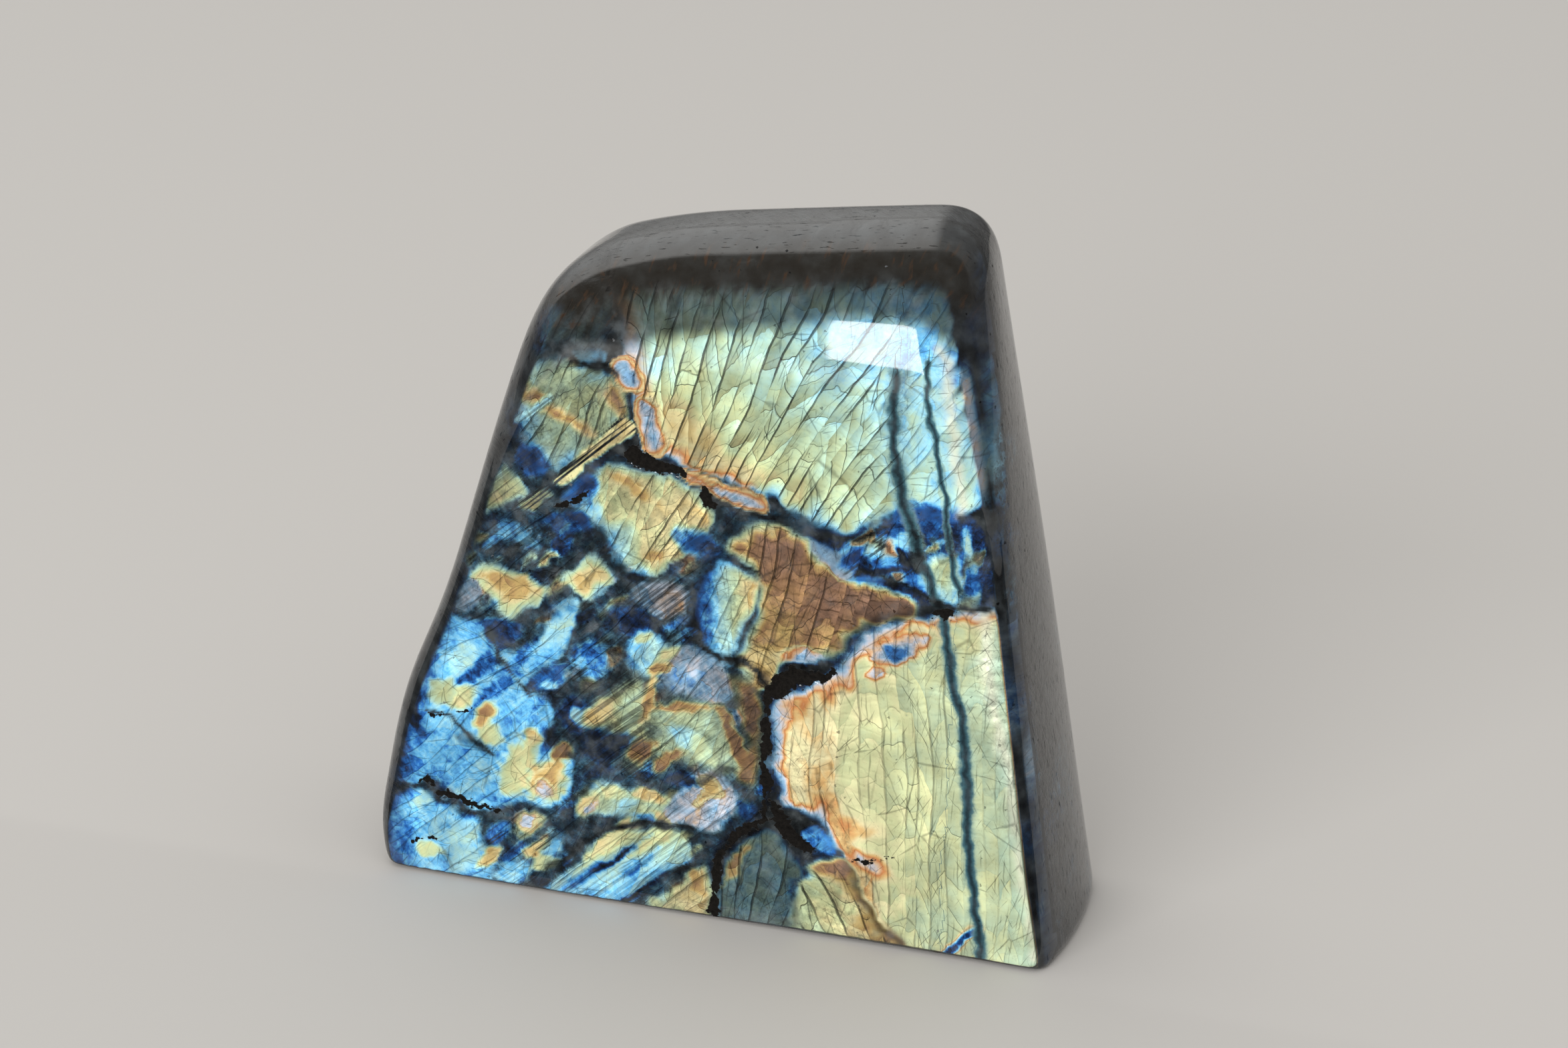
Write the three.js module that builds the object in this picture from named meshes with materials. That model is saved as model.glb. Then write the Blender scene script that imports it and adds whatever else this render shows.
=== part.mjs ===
// A polished freeform of labradorite, a feldspar with a play of colour: one slab of stone, sawn
// flat underneath so that it stands, ground to a leaning show face, a back, a left flank with a
// slight waist, a right side of two facets, a shoulder and a rising top, and with every edge
// rounded over and polished. It grew as one piece, so it is one mesh.
//
// Millimetres, +Z up. The show face looks along -Y and leans back. The origin is on the surface
// that the stone stands on, under the middle of its box.
//
// The surface is where one function of a point, the stone's depth, is zero: the grinding cuts are
// joined two by two with a rounding of their own. The mesh is a box whose grid lines follow the
// cuts, drawn onto that surface along rays from inside the stone.

import * as THREE from "three";
import { mergeVertices } from "three/addons/utils/BufferGeometryUtils.js";

const tan = (degrees) => Math.tan(THREE.MathUtils.degToRad(degrees));
const cos = (degrees) => Math.cos(THREE.MathUtils.degToRad(degrees));
const sin = (degrees) => Math.sin(THREE.MathUtils.degToRad(degrees));

// Driving dimensions of the cuts.
const HEIGHT = 149.4; // the top facet's height over the middle
const TOP_RISE = 0.12; // the top facet climbs to the right by this share
const FRONT_Y = -25.2; // the show face at the base
const FRONT_LEAN = 7; // degrees that it leans back
const ROLL_FROM = 112; // above this height it rolls back further, towards the top
const ROLL = 0.0022; // by this share of the square of the height above that
const BACK_Y = 20.4; // the back at the base
const BACK_LEAN = 2; // degrees that the back leans back too
const SHOULDER_X = -30; // where the shoulder would meet the full height
const SHOULDER_SLOPE = 31; // degrees below level, falling to the left
const RIGHT_X = 75; // the right side's front corner at the base
const RIGHT_TAPER = 0.18; // the right side's lean inwards, as a share of the height
const RIGHT_FRONT_FACET = 73; // degrees round from the show face's direction
const RIGHT_BACK_FACET = 97; // the same, of the second facet
const RIGHT_FACET_DEPTH = 17; // the first facet's depth, front to back

// The left flank as x at a height: a bulging foot, a waist at 62 and a straight lean above it.
const LEFT_FLANK = [
  [0, -77.8],
  [14, -79.7],
  [40, -75.2],
  [62, -66.8],
  [80, -61.1],
  [140, -44.2],
];
const LEFT_FLANK_SAMPLES = 240;
const LEFT_FLANK_LEAN = 18; // degrees, on the whole

// Roundings between the cuts.
const FLANK_TO_SHOULDER = 15;
const SHOULDER_TO_TOP = 14;
const TOP_TO_RIGHT = 12;
const RIGHT_FACETS = 8;
const FRONT_TO_TOP = 16;
const FRONT_TO_LEFT = 9;
const FRONT_TO_RIGHT = 5;
const BACK_EDGES = 8;
const BASE_EDGES = 2;
const TOP_WIDENS_AT = 119.4; // the height where the show face's edge widens towards the top
const TOP_WIDENS_OVER = 10;
const SIDES_CHANGE_AT = 25.5; // the x where the left rounding gives way to the right one
const SIDES_CHANGE_OVER = 12;
const TIGHT_FOOT = 25; // below this height the show face's edges tighten towards FOOT_SHARE
const FOOT_SHARE = 0.5;
const ROUNDING_POWER = 2.4; // 2 is a circular rounding, and more flows out of the faces softly

// Hand grinding leaves each face a little wavy.
const WAVE_DEPTH = 0.2;
const WAVE_LENGTH = 150;

// The mesh: cells along x, y and z, drawn closer towards the edges by CROWDING, from 0 to 1.
const CELLS = [36, 14, 38];
const CROWDING = 0.8;
const RAY_ORIGIN = new THREE.Vector3(5, 0, 60);
const RAY_STEPS = 40;
const LONGEST_RAY = 260;
const SAWN_FLAT = 0.001; // a point this close to the saw cut is on it

// The greater of two depths, rounded over within a radius of where they meet.
function roundMax(a, b, radius) {
  const u = Math.max(a + radius, 0);
  const v = Math.max(b + radius, 0);
  const rounded = (u ** ROUNDING_POWER + v ** ROUNDING_POWER) ** (1 / ROUNDING_POWER);
  return Math.min(Math.max(a, b), -radius) + rounded;
}

// A smooth curve through the left flank's points.
const flankCurve = new THREE.SplineCurve(
  LEFT_FLANK.map(([height, x]) => new THREE.Vector2(height, x)),
);
const flankSamples = flankCurve.getPoints(LEFT_FLANK_SAMPLES);

function leftFlankX(height) {
  const last = flankSamples.length - 1;
  if (height <= flankSamples[0].x) return flankSamples[0].y;
  if (height >= flankSamples[last].x) return flankSamples[last].y;
  const above = flankSamples.findIndex((point) => point.x >= height);
  const [a, b] = [flankSamples[above - 1], flankSamples[above]];
  return THREE.MathUtils.mapLinear(height, a.x, b.x, a.y, b.y);
}

const topHeight = (x) => HEIGHT + TOP_RISE * x;
const shoulderHeight = (x) => HEIGHT + (x - SHOULDER_X) * tan(SHOULDER_SLOPE);
const frontY = (z) => FRONT_Y + z * tan(FRONT_LEAN) + ROLL * Math.max(z - ROLL_FROM, 0) ** 2;
const backY = (z) => BACK_Y + z * tan(BACK_LEAN);
const rightX = (z) => RIGHT_X - z * RIGHT_TAPER;

// The distance outside one facet of the right side, whose trace at the base runs through (x0, y0).
function rightFacet(x, y, z, x0, y0, azimuth) {
  const across = (x - x0) * sin(azimuth) - (y - y0) * cos(azimuth);
  return (across + z * RIGHT_TAPER) / Math.hypot(1, RIGHT_TAPER);
}

function rightSide(x, y, z) {
  const secondX = RIGHT_X + RIGHT_FACET_DEPTH / tan(RIGHT_FRONT_FACET);
  const first = rightFacet(x, y, z, RIGHT_X, FRONT_Y, RIGHT_FRONT_FACET);
  const second = rightFacet(x, y, z, secondX, FRONT_Y + RIGHT_FACET_DEPTH, RIGHT_BACK_FACET);
  return roundMax(first, second, RIGHT_FACETS);
}

// The rounding between the show face and what it meets: wide along the top, middling down the
// left, crisp down the right, and tighter near the base.
function frontRounding(x, z) {
  const gradual = (t) => 1 / (1 + Math.exp(-t));
  const towardsTop = gradual((z - TOP_WIDENS_AT) / TOP_WIDENS_OVER);
  const towardsRight = gradual((x - SIDES_CHANGE_AT) / SIDES_CHANGE_OVER);
  const down = THREE.MathUtils.lerp(FRONT_TO_LEFT, FRONT_TO_RIGHT, towardsRight);
  const foot = THREE.MathUtils.smoothstep(z, 0, TIGHT_FOOT);
  const tightening = THREE.MathUtils.lerp(FOOT_SHARE, 1, foot);
  return tightening * THREE.MathUtils.lerp(down, FRONT_TO_TOP, towardsTop);
}

function waves(x, y, z) {
  const turn = (2 * Math.PI) / WAVE_LENGTH;
  const acrossFace = Math.sin(turn * (x + z / 2));
  const throughStone = Math.sin(turn * (z + 2 * y));
  return WAVE_DEPTH * (acrossFace + throughStone);
}

// How far a point is outside the stone, negative inside.
function outside({ x, y, z }) {
  const left = (leftFlankX(z) - x) * cos(LEFT_FLANK_LEAN);
  const shoulder = (z - shoulderHeight(x)) * cos(SHOULDER_SLOPE);
  const top = (z - topHeight(x)) / Math.hypot(1, TOP_RISE);
  const front = (frontY(z) - y) * cos(FRONT_LEAN);
  const back = (y - backY(z)) * cos(BACK_LEAN);
  let rim = roundMax(left, shoulder, FLANK_TO_SHOULDER);
  rim = roundMax(rim, top, SHOULDER_TO_TOP);
  rim = roundMax(rim, rightSide(x, y, z), TOP_TO_RIGHT);
  const withFront = roundMax(rim, front, frontRounding(x, z));
  const withBack = roundMax(withFront, back, BACK_EDGES);
  return roundMax(withBack + waves(x, y, z), -z, BASE_EDGES);
}

// A point of the box, with coordinates from -1 to 1, moved to about where the stone's cuts are.
function alongCuts(box) {
  const crowd = (t) => Math.sin((t * CROWDING * Math.PI) / 2) / Math.sin((CROWDING * Math.PI) / 2);
  const share = (t) => (crowd(t) + 1) / 2;
  const level = share(box.z) * HEIGHT;
  const x = THREE.MathUtils.lerp(leftFlankX(level), rightX(level), share(box.x));
  const z = share(box.z) * Math.min(topHeight(x), shoulderHeight(x));
  const y = THREE.MathUtils.lerp(frontY(z), backY(z), share(box.y));
  return new THREE.Vector3(x, y, z);
}

// The surface point on the ray from inside the stone through a guide point.
function ontoSurface(guide) {
  const direction = guide.clone().sub(RAY_ORIGIN).normalize();
  let near = 0;
  let far = LONGEST_RAY;
  const point = new THREE.Vector3();
  for (let i = 0; i < RAY_STEPS; i++) {
    const middle = (near + far) / 2;
    point.copy(RAY_ORIGIN).addScaledVector(direction, middle);
    if (outside(point) < 0) near = middle;
    else far = middle;
  }
  if (Math.abs(point.z) < SAWN_FLAT) point.z = 0;
  return point;
}

function stoneGeometry() {
  const box = new THREE.BoxGeometry(2, 2, 2, ...CELLS);
  box.deleteAttribute("normal");
  box.deleteAttribute("uv");
  const geometry = mergeVertices(box);
  const position = geometry.getAttribute("position");
  const corner = new THREE.Vector3();
  for (let i = 0; i < position.count; i++) {
    corner.fromBufferAttribute(position, i);
    position.setXYZ(i, ...ontoSurface(alongCuts(corner)));
  }
  geometry.computeBoundingBox();
  const centre = geometry.boundingBox.getCenter(new THREE.Vector3());
  geometry.translate(-centre.x, -centre.y, 0);
  geometry.computeVertexNormals();
  return geometry;
}

const polished = new THREE.MeshStandardMaterial({
  name: "labradorite",
  color: 0x3c4648,
  roughness: 0.12,
  metalness: 0,
});

const stone = new THREE.Mesh(stoneGeometry(), polished);
stone.name = "stone";

const freeform = new THREE.Group();
freeform.add(stone);

export default freeform;
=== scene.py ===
# %% [markdown]
# # A polished freeform of labradorite
#
# Labradorite is a feldspar, nearly black in itself. While it cooled it unmixed into layers thinner
# than the wavelength of light, and light that is thrown back by a stack of such layers comes out
# coloured: blue where the layers are thinnest, then green, gold and copper as they thicken. One
# stone is many crystals grown together, so it flashes in patches, each with its own order of
# colours from its rim to its middle. This lesson builds one such stone: first its shape, then a
# map of its grains, then a material that reads that map, and last a small studio.

# %% Load the frame
import math
import random

import bmesh
import bpy
import numpy as np
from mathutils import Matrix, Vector, noise
from mathutils.bvhtree import BVHTree


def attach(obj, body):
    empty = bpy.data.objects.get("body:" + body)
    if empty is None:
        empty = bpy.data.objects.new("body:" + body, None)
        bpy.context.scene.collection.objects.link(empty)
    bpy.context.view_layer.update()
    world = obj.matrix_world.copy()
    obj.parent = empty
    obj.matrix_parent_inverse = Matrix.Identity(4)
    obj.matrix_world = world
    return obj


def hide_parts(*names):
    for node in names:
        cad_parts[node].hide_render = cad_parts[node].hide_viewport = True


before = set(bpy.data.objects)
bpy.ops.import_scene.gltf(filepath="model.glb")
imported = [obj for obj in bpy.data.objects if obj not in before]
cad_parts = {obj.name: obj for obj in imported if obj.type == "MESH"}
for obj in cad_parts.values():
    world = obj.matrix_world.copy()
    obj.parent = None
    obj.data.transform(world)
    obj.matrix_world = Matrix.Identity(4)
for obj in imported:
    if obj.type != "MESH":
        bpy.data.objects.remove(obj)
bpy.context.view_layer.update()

MM = 0.001

# %% [markdown]
# ## Three helpers
#
# Colours are picked as sRGB hex values, but light adds up linearly, so every colour goes through
# one function. Node trees are easier to read when a node, its settings and its links are made in
# one line, so a second small function does that and hands back the socket to go on from. A third
# one gives a colour ramp its stops.

# %% Colour and node helpers
def linear(hex_colour):
    channels = [int(hex_colour[i : i + 2], 16) / 255 for i in (1, 3, 5)]
    return [c / 12.92 if c <= 0.04045 else ((c + 0.055) / 1.055) ** 2.4 for c in channels] + [1.0]


def add(kind, *values, out=0, **named):
    """Adds a node to the tree in hand and hands back one of its outputs.

    The values fill its inputs in their order, or one dict gives them by number or name. Of the
    named ones, those with a capital letter are inputs too, and the others are settings.
    """
    made = tree.nodes.new("ShaderNode" + kind)
    one_dict = len(values) == 1 and isinstance(values[0], dict)
    inputs = dict(values[0] if one_dict else enumerate(values))
    for name, value in named.items():
        if name[0].isupper():
            inputs[name] = value
        else:
            setattr(made, name, value)
    for name, value in inputs.items():
        if isinstance(value, bpy.types.NodeSocket):
            tree.links.new(value, made.inputs[name])
        else:
            made.inputs[name].default_value = value
    return made.outputs[out] if made.outputs else made


def with_stops(colours, stops, interpolation="LINEAR"):
    """Gives a colour ramp its stops, each a position and a hex colour."""
    ramp = colours.node.color_ramp
    ramp.interpolation = interpolation
    while len(ramp.elements) < len(stops):
        ramp.elements.new(1.0)
    for element, (position, hex_colour) in zip(ramp.elements, stops):
        element.position = position
        element.color = linear(hex_colour)
    return colours


print("labradorite's own dark grey, linear:", [round(c, 3) for c in linear("#17181b")])

# %% [markdown]
# ## The stone's shape
#
# A freeform is sawn flat underneath, ground on coarse wheels into broad faces, and polished until
# every edge is a soft rounding. The frame has that shape in flat triangles a few millimetres wide.
# A polish shows every one of them, so a copy is merged, its triangles are joined to squares, and a
# Subdivision Surface rounds it. The show face carries a map of grains in its vertices, so it gets
# finer squares of about half a millimetre, which are then laid onto the smooth surface.

# %% Merge a copy and smooth it
FINE_CUTS = 3  # extra cuts along each edge of the show face
SHOW_FACING = 0.93  # how squarely a face must look forwards to be cut finely
FACE_LEAN = math.radians(7)  # the show face leans back by this
SAWN = 1e-6  # m, lower than which a point is on the sawn base
FACE_NORMAL = Vector((0, -math.cos(FACE_LEAN), math.sin(FACE_LEAN)))


def smoothed(mesh, levels):
    """A mesh after its Subdivision Surface."""
    rough = bpy.data.objects.new("rough", mesh)
    bpy.context.scene.collection.objects.link(rough)
    rounding = rough.modifiers.new("rounding", "SUBSURF")
    rounding.levels = levels
    rounding.render_levels = levels
    depsgraph = bpy.context.evaluated_depsgraph_get()
    result = bpy.data.meshes.new_from_object(rough.evaluated_get(depsgraph))
    bpy.data.objects.remove(rough)
    return result


shape = bmesh.new()
shape.from_mesh(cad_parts["stone"].data)
bmesh.ops.remove_doubles(shape, verts=shape.verts, dist=0.001 * MM)
BEND, SKEW = 1.2, 1.6  # radians that two triangles may differ by and still be joined
bmesh.ops.join_triangles(shape, faces=shape.faces, angle_face_threshold=BEND, angle_shape_threshold=SKEW)
squares = bpy.data.meshes.new("squares")
shape.to_mesh(squares)
shape.free()
if "custom_normal" in squares.attributes:  # the flat triangles' own normals
    squares.attributes.remove(squares.attributes["custom_normal"])
print("squares and triangles before smoothing:", len(squares.polygons))

# %% Cut the show face finely and lay it on the smooth surface
stone_mesh = smoothed(squares, 1)
fine = bmesh.new()
fine.from_mesh(stone_mesh)
show_faces = [face for face in fine.faces if face.normal.dot(FACE_NORMAL) > SHOW_FACING]
show_edges = list({edge for face in show_faces for edge in face.edges})
bmesh.ops.subdivide_edges(fine, edges=show_edges, cuts=FINE_CUTS, use_grid_fill=True)

smoothest = smoothed(squares, 3)
smooth_surface = BVHTree.FromPolygons(
    [vertex.co for vertex in smoothest.vertices], [face.vertices for face in smoothest.polygons]
)
for vertex in fine.verts:
    if vertex.co.z > SAWN:
        vertex.co = smooth_surface.find_nearest(vertex.co)[0]
fine.to_mesh(stone_mesh)
fine.free()
stone_mesh.shade_smooth()
print("triangles on the stone:", sum(len(face.vertices) - 2 for face in stone_mesh.polygons))

# %% [markdown]
# ## A map of grains
#
# The colours could be painted on an image, but that has to be unwrapped and is only as fine as its
# own grid. Instead the map is kept in the mesh: each grain is an outline of a few points in
# millimetres on the show face, x to the right and z up, and every vertex works out how deep inside
# the outline it lies. From that depth comes the **order** of its colour, from 0, black, through
# blue, green and gold to 1, copper. The material turns the order into colour, so a grain's rim runs
# through the whole sequence by itself, as the real one does where its layers thin out. Noise lets
# the outlines wander, so that they look grown and not drawn. Blender's noise_vector starts from the
# clock unless it gets a seed, and with one the outlines are the same every run.

# %% Points of the show face
places = np.array([vertex.co for vertex in stone_mesh.vertices]) / MM
normals = np.array([vertex.normal for vertex in stone_mesh.vertices])
facing = normals @ np.array(FACE_NORMAL)
WANDERS = ((14.0, 0.9), (4.5, 0.9), (1.6, 0.5))  # size and depth in mm of an outline's wandering
SHOWN = 0.2  # how squarely a point must look forwards to be painted

noise.seed_set(11)
wander = np.zeros_like(places)
for size, depth in WANDERS:
    wander += depth * np.array([noise.noise_vector(Vector(place) / size) for place in places])
uneven = np.array([noise.noise(Vector(place) / 4) for place in places])
ragged = np.array([noise.noise(Vector(place) / 1.6) for place in places])
across = places[:, 0] + wander[:, 0]
up = places[:, 2] + wander[:, 2]
on_show = facing > SHOWN
print("vertices on the show face:", int(on_show.sum()), "of", len(places))


# %% How deep a point lies inside an outline
def rounded(outline, steps=5):
    """A closed smooth curve through an outline's points."""
    here = np.array(outline, float)
    before, after, beyond = np.roll(here, 1, 0), np.roll(here, -1, 0), np.roll(here, -2, 0)
    t = (np.arange(steps) / steps)[:, None, None]
    curve = here + 0.5 * t * (after - before)
    curve = curve + 0.5 * t**2 * (2 * before - 5 * here + 4 * after - beyond)
    curve = curve + 0.5 * t**3 * (3 * here - before - 3 * after + beyond)
    return curve.transpose(1, 0, 2).reshape(-1, 2)


def measured(starts, ends, x, z):
    """Distance to a chain of edges, the way to its nearest point, and the winding round x, z."""
    nearest = np.full(x.shape, np.inf)
    way = np.zeros((2,) + x.shape)
    inside = np.zeros(x.shape, bool)
    for (ax, az), (bx, bz) in zip(starts, ends):
        long2 = (bx - ax) ** 2 + (bz - az) ** 2
        along = np.clip(((x - ax) * (bx - ax) + (z - az) * (bz - az)) / long2, 0, 1)
        dx, dz = ax + along * (bx - ax) - x, az + along * (bz - az) - z
        gap = np.hypot(dx, dz)
        closer = gap < nearest
        nearest[closer] = gap[closer]
        way[0][closer], way[1][closer] = dx[closer], dz[closer]
        if az != bz:
            inside ^= ((az > z) != (bz > z)) & (x < ax + (bx - ax) * (z - az) / (bz - az))
    return nearest, way / np.maximum(nearest, 1e-6), inside


def within(starts, margin):
    """The show face's points in the box round some points."""
    (low_x, low_z), (high_x, high_z) = starts.min(0) - margin, starts.max(0) + margin
    near = on_show & (across > low_x) & (across < high_x) & (up > low_z) & (up < high_z)
    return np.flatnonzero(near)


# %% [markdown]
# ## Painting a grain into the map
#
# Grains are painted one over another, as glazes are. A grain draws what is under it towards its own
# order over the width of its rim, so a gold spot in a blue field passes through green on the way,
# and a blue eye in a gold field passes through orange. Besides the order the map holds how strongly
# the grain flashes, whether its rim goes through the second, paler order of colours, how strongly
# it is streaked by twin layers, and coordinates along and across its cleavage, which is the way it
# cracks. Those coordinates jump from one grain to the next, so cracks and relief are **calmed**
# close to a contact. Patches without an edge of their own are soft ovals instead.

# %% The map's layers and the function that paints a grain
count = len(places)
order = np.full(count, 0.12)
flash, second = np.zeros(count), np.zeros(count)
twinned, murk = np.full(count, 0.25), np.full(count, 0.9)
wrinkled, cracked = np.full(count, 0.3), np.full(count, 0.3)
contact, calm = np.ones(count), np.ones(count)
grains_made = []
JOINT = 1.3  # mm over which a grain darkens towards a contact
CALM, LIVELY = 0.6, 1.8  # mm from a contact between which cracks and relief come in
RIM_CURVE = 1.5  # above 1, the order changes fastest at the very rim
OVAL_EDGE = 1.15  # half lengths from its middle at which a soft oval ends


def smooth(low, high, value):
    """0 below low, 1 above high, and a soft step between them."""
    share = np.clip((value - low) / (high - low), 0, 1)
    return share * share * (3 - 2 * share)


def cleaved(x, z, middle, angle, fan):
    """Millimetres across and along a grain's cleavage, which may spread like a fan."""
    a = math.radians(angle)
    if not fan:
        dx, dz = x - middle[0], z - middle[1]
        return dz * math.cos(a) - dx * math.sin(a), dx * math.cos(a) + dz * math.sin(a)
    reach = 1 / math.radians(fan)
    dx = x - middle[0] + reach * math.cos(a)
    dz = z - middle[1] + reach * math.sin(a)
    return (np.arctan2(dz, dx) - a) * reach, np.hypot(dx, dz)


u, v = cleaved(places[:, 0] + places[:, 1], places[:, 2], (0, 0), 42, 0)
cleavage = np.column_stack((u, v, np.zeros(count)))


def grain(
    outline, core, rim=3.0, strength=1.0, lean=(0, 0), fringed=0.0, fringe=None, cleave=None, fan=0.0,
    twins=None, clouded=0.3, wide=None, soft=0.45, grow=0.6, wrinkles=0.15, cracks=0.4, joint=0.8,
):
    """Paints one grain: its order in the middle, its rim in mm and how strongly it flashes.

    The order may lean, per mm to the right and up. The rim may be wide on one side, the cleavage
    may fan out, and the whole grain grows a little past its outline.
    """
    curve = rounded(outline)
    at = within(curve, grow + 2)
    gap, way, inside = measured(curve, np.roll(curve, -1, 0), across[at], up[at])
    depth = np.where(inside, gap, -gap) + grow
    if cleave is not None:
        dark = 1 - joint * np.exp(-((depth / JOINT) ** 2))
        contact[at] = np.where(depth > 0, dark, np.minimum(dark, contact[at]))
        still = smooth(CALM, LIVELY, np.abs(depth))
        calm[at] = np.where(depth > 0, still, np.minimum(still, calm[at]))
    kept = depth > 0
    at, depth, way = at[kept], depth[kept], way[:, kept]
    x, z = places[at, 0], places[at, 2]
    middle = (curve.min(0) + curve.max(0)) / 2
    width = np.full(depth.shape, float(rim))
    if wide:
        turn, extra = math.radians(wide[0]), wide[1]
        width += extra * np.maximum(way[0] * math.cos(turn) + way[1] * math.sin(turn), 0)
    width *= 1 + 0.9 * uneven[at]
    rise = 1 - (1 - np.clip(depth / width, 0, 1)) ** RIM_CURVE
    target = np.clip(core + lean[0] * (x - middle[0]) + lean[1] * (z - middle[1]), 0, 1)
    order[at] += (target - order[at]) * rise
    opened = smooth(0.2, 0.2 + soft * width, depth)
    flash[at] += (strength - flash[at]) * opened
    paler = fringed if np.isscalar(fringed) else np.clip((fringed[0] - x) / fringed[1], 0, 1)
    if fringe:
        paler = paler * (1 - smooth(0.6 * fringe, 1.5 * fringe, depth))
    second[at] += (paler - second[at]) * opened
    if twins is not None:
        twinned[at] = twins
    murk[at] += (clouded - murk[at]) * opened
    wrinkled[at] += (wrinkles - wrinkled[at]) * opened
    cracked[at] += (cracks - cracked[at]) * opened
    if cleave is None:
        contact[at] += (1 - contact[at]) * opened
    else:
        seed = 7.0 * len(grains_made)
        u, v = cleaved(x, z, middle, cleave, fan)
        cleavage[at] = np.column_stack((u, v, np.full(u.shape, seed)))
    grains_made.append(len(at))


def spot(x, z, along, aside, turn, core, strength=1.0, paler=0.0, edge=0.5):
    """Paints one soft oval patch: its half lengths in mm, its turn, and its order and flash."""
    turn = math.radians(turn)
    dx, dz = across - x, up - z
    u = (dx * math.cos(turn) + dz * math.sin(turn)) / along
    v = (dz * math.cos(turn) - dx * math.sin(turn)) / aside
    reach = np.hypot(u, v) + 0.3 * uneven + 0.25 * ragged
    at = np.flatnonzero(on_show & (reach < OVAL_EDGE))
    share = 1 - smooth(edge, OVAL_EDGE, reach[at])
    if core is not None:
        order[at] += (core - order[at]) * share
    flash[at] += (strength - flash[at]) * share
    if paler is not None:
        second[at] += (paler - second[at]) * share
    murk[at] += (0.06 - murk[at]) * share
    grains_made.append(len(at))


# %% [markdown]
# ## The jumble between the great grains
#
# Before the grains that can be told apart, the left and the lower middle are strewn with small
# crystals of 2 to 6 mm, most of them blue or nearly out, some gold. They are corners at random
# distances round a middle, drawn out along the twins, and the seed keeps them the same every run.
# Three broad, dim grains are painted under them first.

# %% Strew small crystals
TWIN_ANGLE = math.radians(41)  # the way of the twins on the show face, up to the right
STREWN = (  # x from, x to, z from, z to in mm, how many
    (-62, -4, 60, 97, 130),
    (-46, 12, 22, 62, 90),
    (-70, 2, 3, 24, 50),
    (28, 57, 80, 94, 46),
    (-47, -22, 96, 136, 40),
)
grain(
    [(-66, 105), (-40, 104), (-12, 101), (10, 96), (24, 94), (-2, 78), (-8, 60), (-30, 58), (-62, 58),
     (-70, 76)],
    0.25, 3, 0.07, clouded=0.7, twins=0.3, cracks=0.3,
)
grain(
    [(-80, 62), (-50, 62), (-30, 66), (-12, 66), (8, 60), (13, 44), (12, 26), (2, 16), (0, -8), (-50, -8),
     (-84, -8), (-84, 30)],
    0.25, 3, 0.07, clouded=0.7, twins=0.3, cracks=0.3,
)
grain(
    [(24, 92), (36, 97), (52, 100), (60, 92), (59, 78), (48, 78), (36, 80), (27, 83)],
    0.12, 2, 0.75, clouded=0.8, twins=0.1, cleave=70,
)
chance = random.Random(11)
for x_from, x_to, z_from, z_to, how_many in STREWN:
    for _ in range(how_many):
        middle_x, middle_z = chance.uniform(x_from, x_to), chance.uniform(z_from, z_to)
        size = chance.uniform(1.0, 2.8)
        corners = []
        for corner in range(6):
            turn = math.tau * (corner + chance.uniform(-0.3, 0.3)) / 6
            along = size * chance.uniform(0.9, 1.9) * math.cos(turn)
            aside = size * chance.uniform(0.5, 1.0) * math.sin(turn)
            corners.append(
                (middle_x + along * math.cos(TWIN_ANGLE) - aside * math.sin(TWIN_ANGLE),
                 middle_z + along * math.sin(TWIN_ANGLE) + aside * math.cos(TWIN_ANGLE))
            )
        its_order = chance.choice((0.1, 0.13, 0.17, 0.22, 0.28, 0.34, 0.5, 0.7))
        grain(
            corners, its_order, 1.5, chance.choice((0.05, 0.1, 0.2, 0.4, 0.8)),
            fringed=chance.choice((0, 0, 0, 1)), twins=chance.choice((0, 0.3, 0.8)),
            clouded=chance.uniform(0.5, 1.0), grow=0.2,
        )
strewn = len(grains_made)
print(strewn, "small crystals strewn")

# %% [markdown]
# ## The great upper grain
#
# The largest crystal fills the upper right. Its layers thicken downwards and to the left, so it
# runs from cyan under the top edge through pale green to cream, and its cleavage opens like a fan.
# Its lower left rim is fringed with orange and lavender; along the bottom it goes straight to blue.

# %% Paint the great upper grain
grain(
    [(-24, 128), (-20.5, 118), (-19.5, 109), (-16.5, 103.5), (-8, 101.5), (0, 99.5), (5, 97.5), (9, 94.5),
     (11.5, 96.5), (17, 93.5), (23, 91.3), (29, 91.7), (34, 94.8), (39, 97), (47, 98), (54, 99),
     (58, 106), (58, 120), (57, 134), (54, 150), (40, 160), (14, 160), (-8, 158), (-26, 150), (-27, 138)],
    0.42, 4.0, 0.9, lean=(-0.0035, -0.0055), fringed=(9, 3), fringe=4.6, wide=(215, 2.5), cleave=67,
    fan=0.42, twins=0, clouded=0.04, soft=0.3, grow=0.3, cracks=1.0,
)
for patch in (
    (-7, 109, 13, 5, -40, 0.68), (4, 103, 11, 4, -28, 0.63), (30, 97, 9, 4.5, -10, 0.47),
    (-14, 122, 7, 7, 80, 0.42), (47, 110, 18, 6, 95, 0.35), (38, 126, 9, 5, 0, 0.34),
):
    spot(*patch, 1.0, None, 0.0)
for *oval, strength in (
    (-4, 122, 12, 8, 0, 1.0), (18, 112, 16, 9, 0, 0.76), (-8, 106, 8, 4, -30, 0.7),
    (34, 113, 8, 12, 90, 0.72),
):
    spot(*oval, None, strength, None, 0.0)
grain([(38, 97), (42, 99.5), (48, 99.5), (52, 98), (50, 95), (45, 94), (40, 94.5)], 0.15, 1.5, 0.9)
grain([(35, 137), (41, 137), (41, 106), (44, 99), (38, 99), (35.5, 112)], 0.3, 5, 0.75)
print("grains so far:", len(grains_made))

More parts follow.
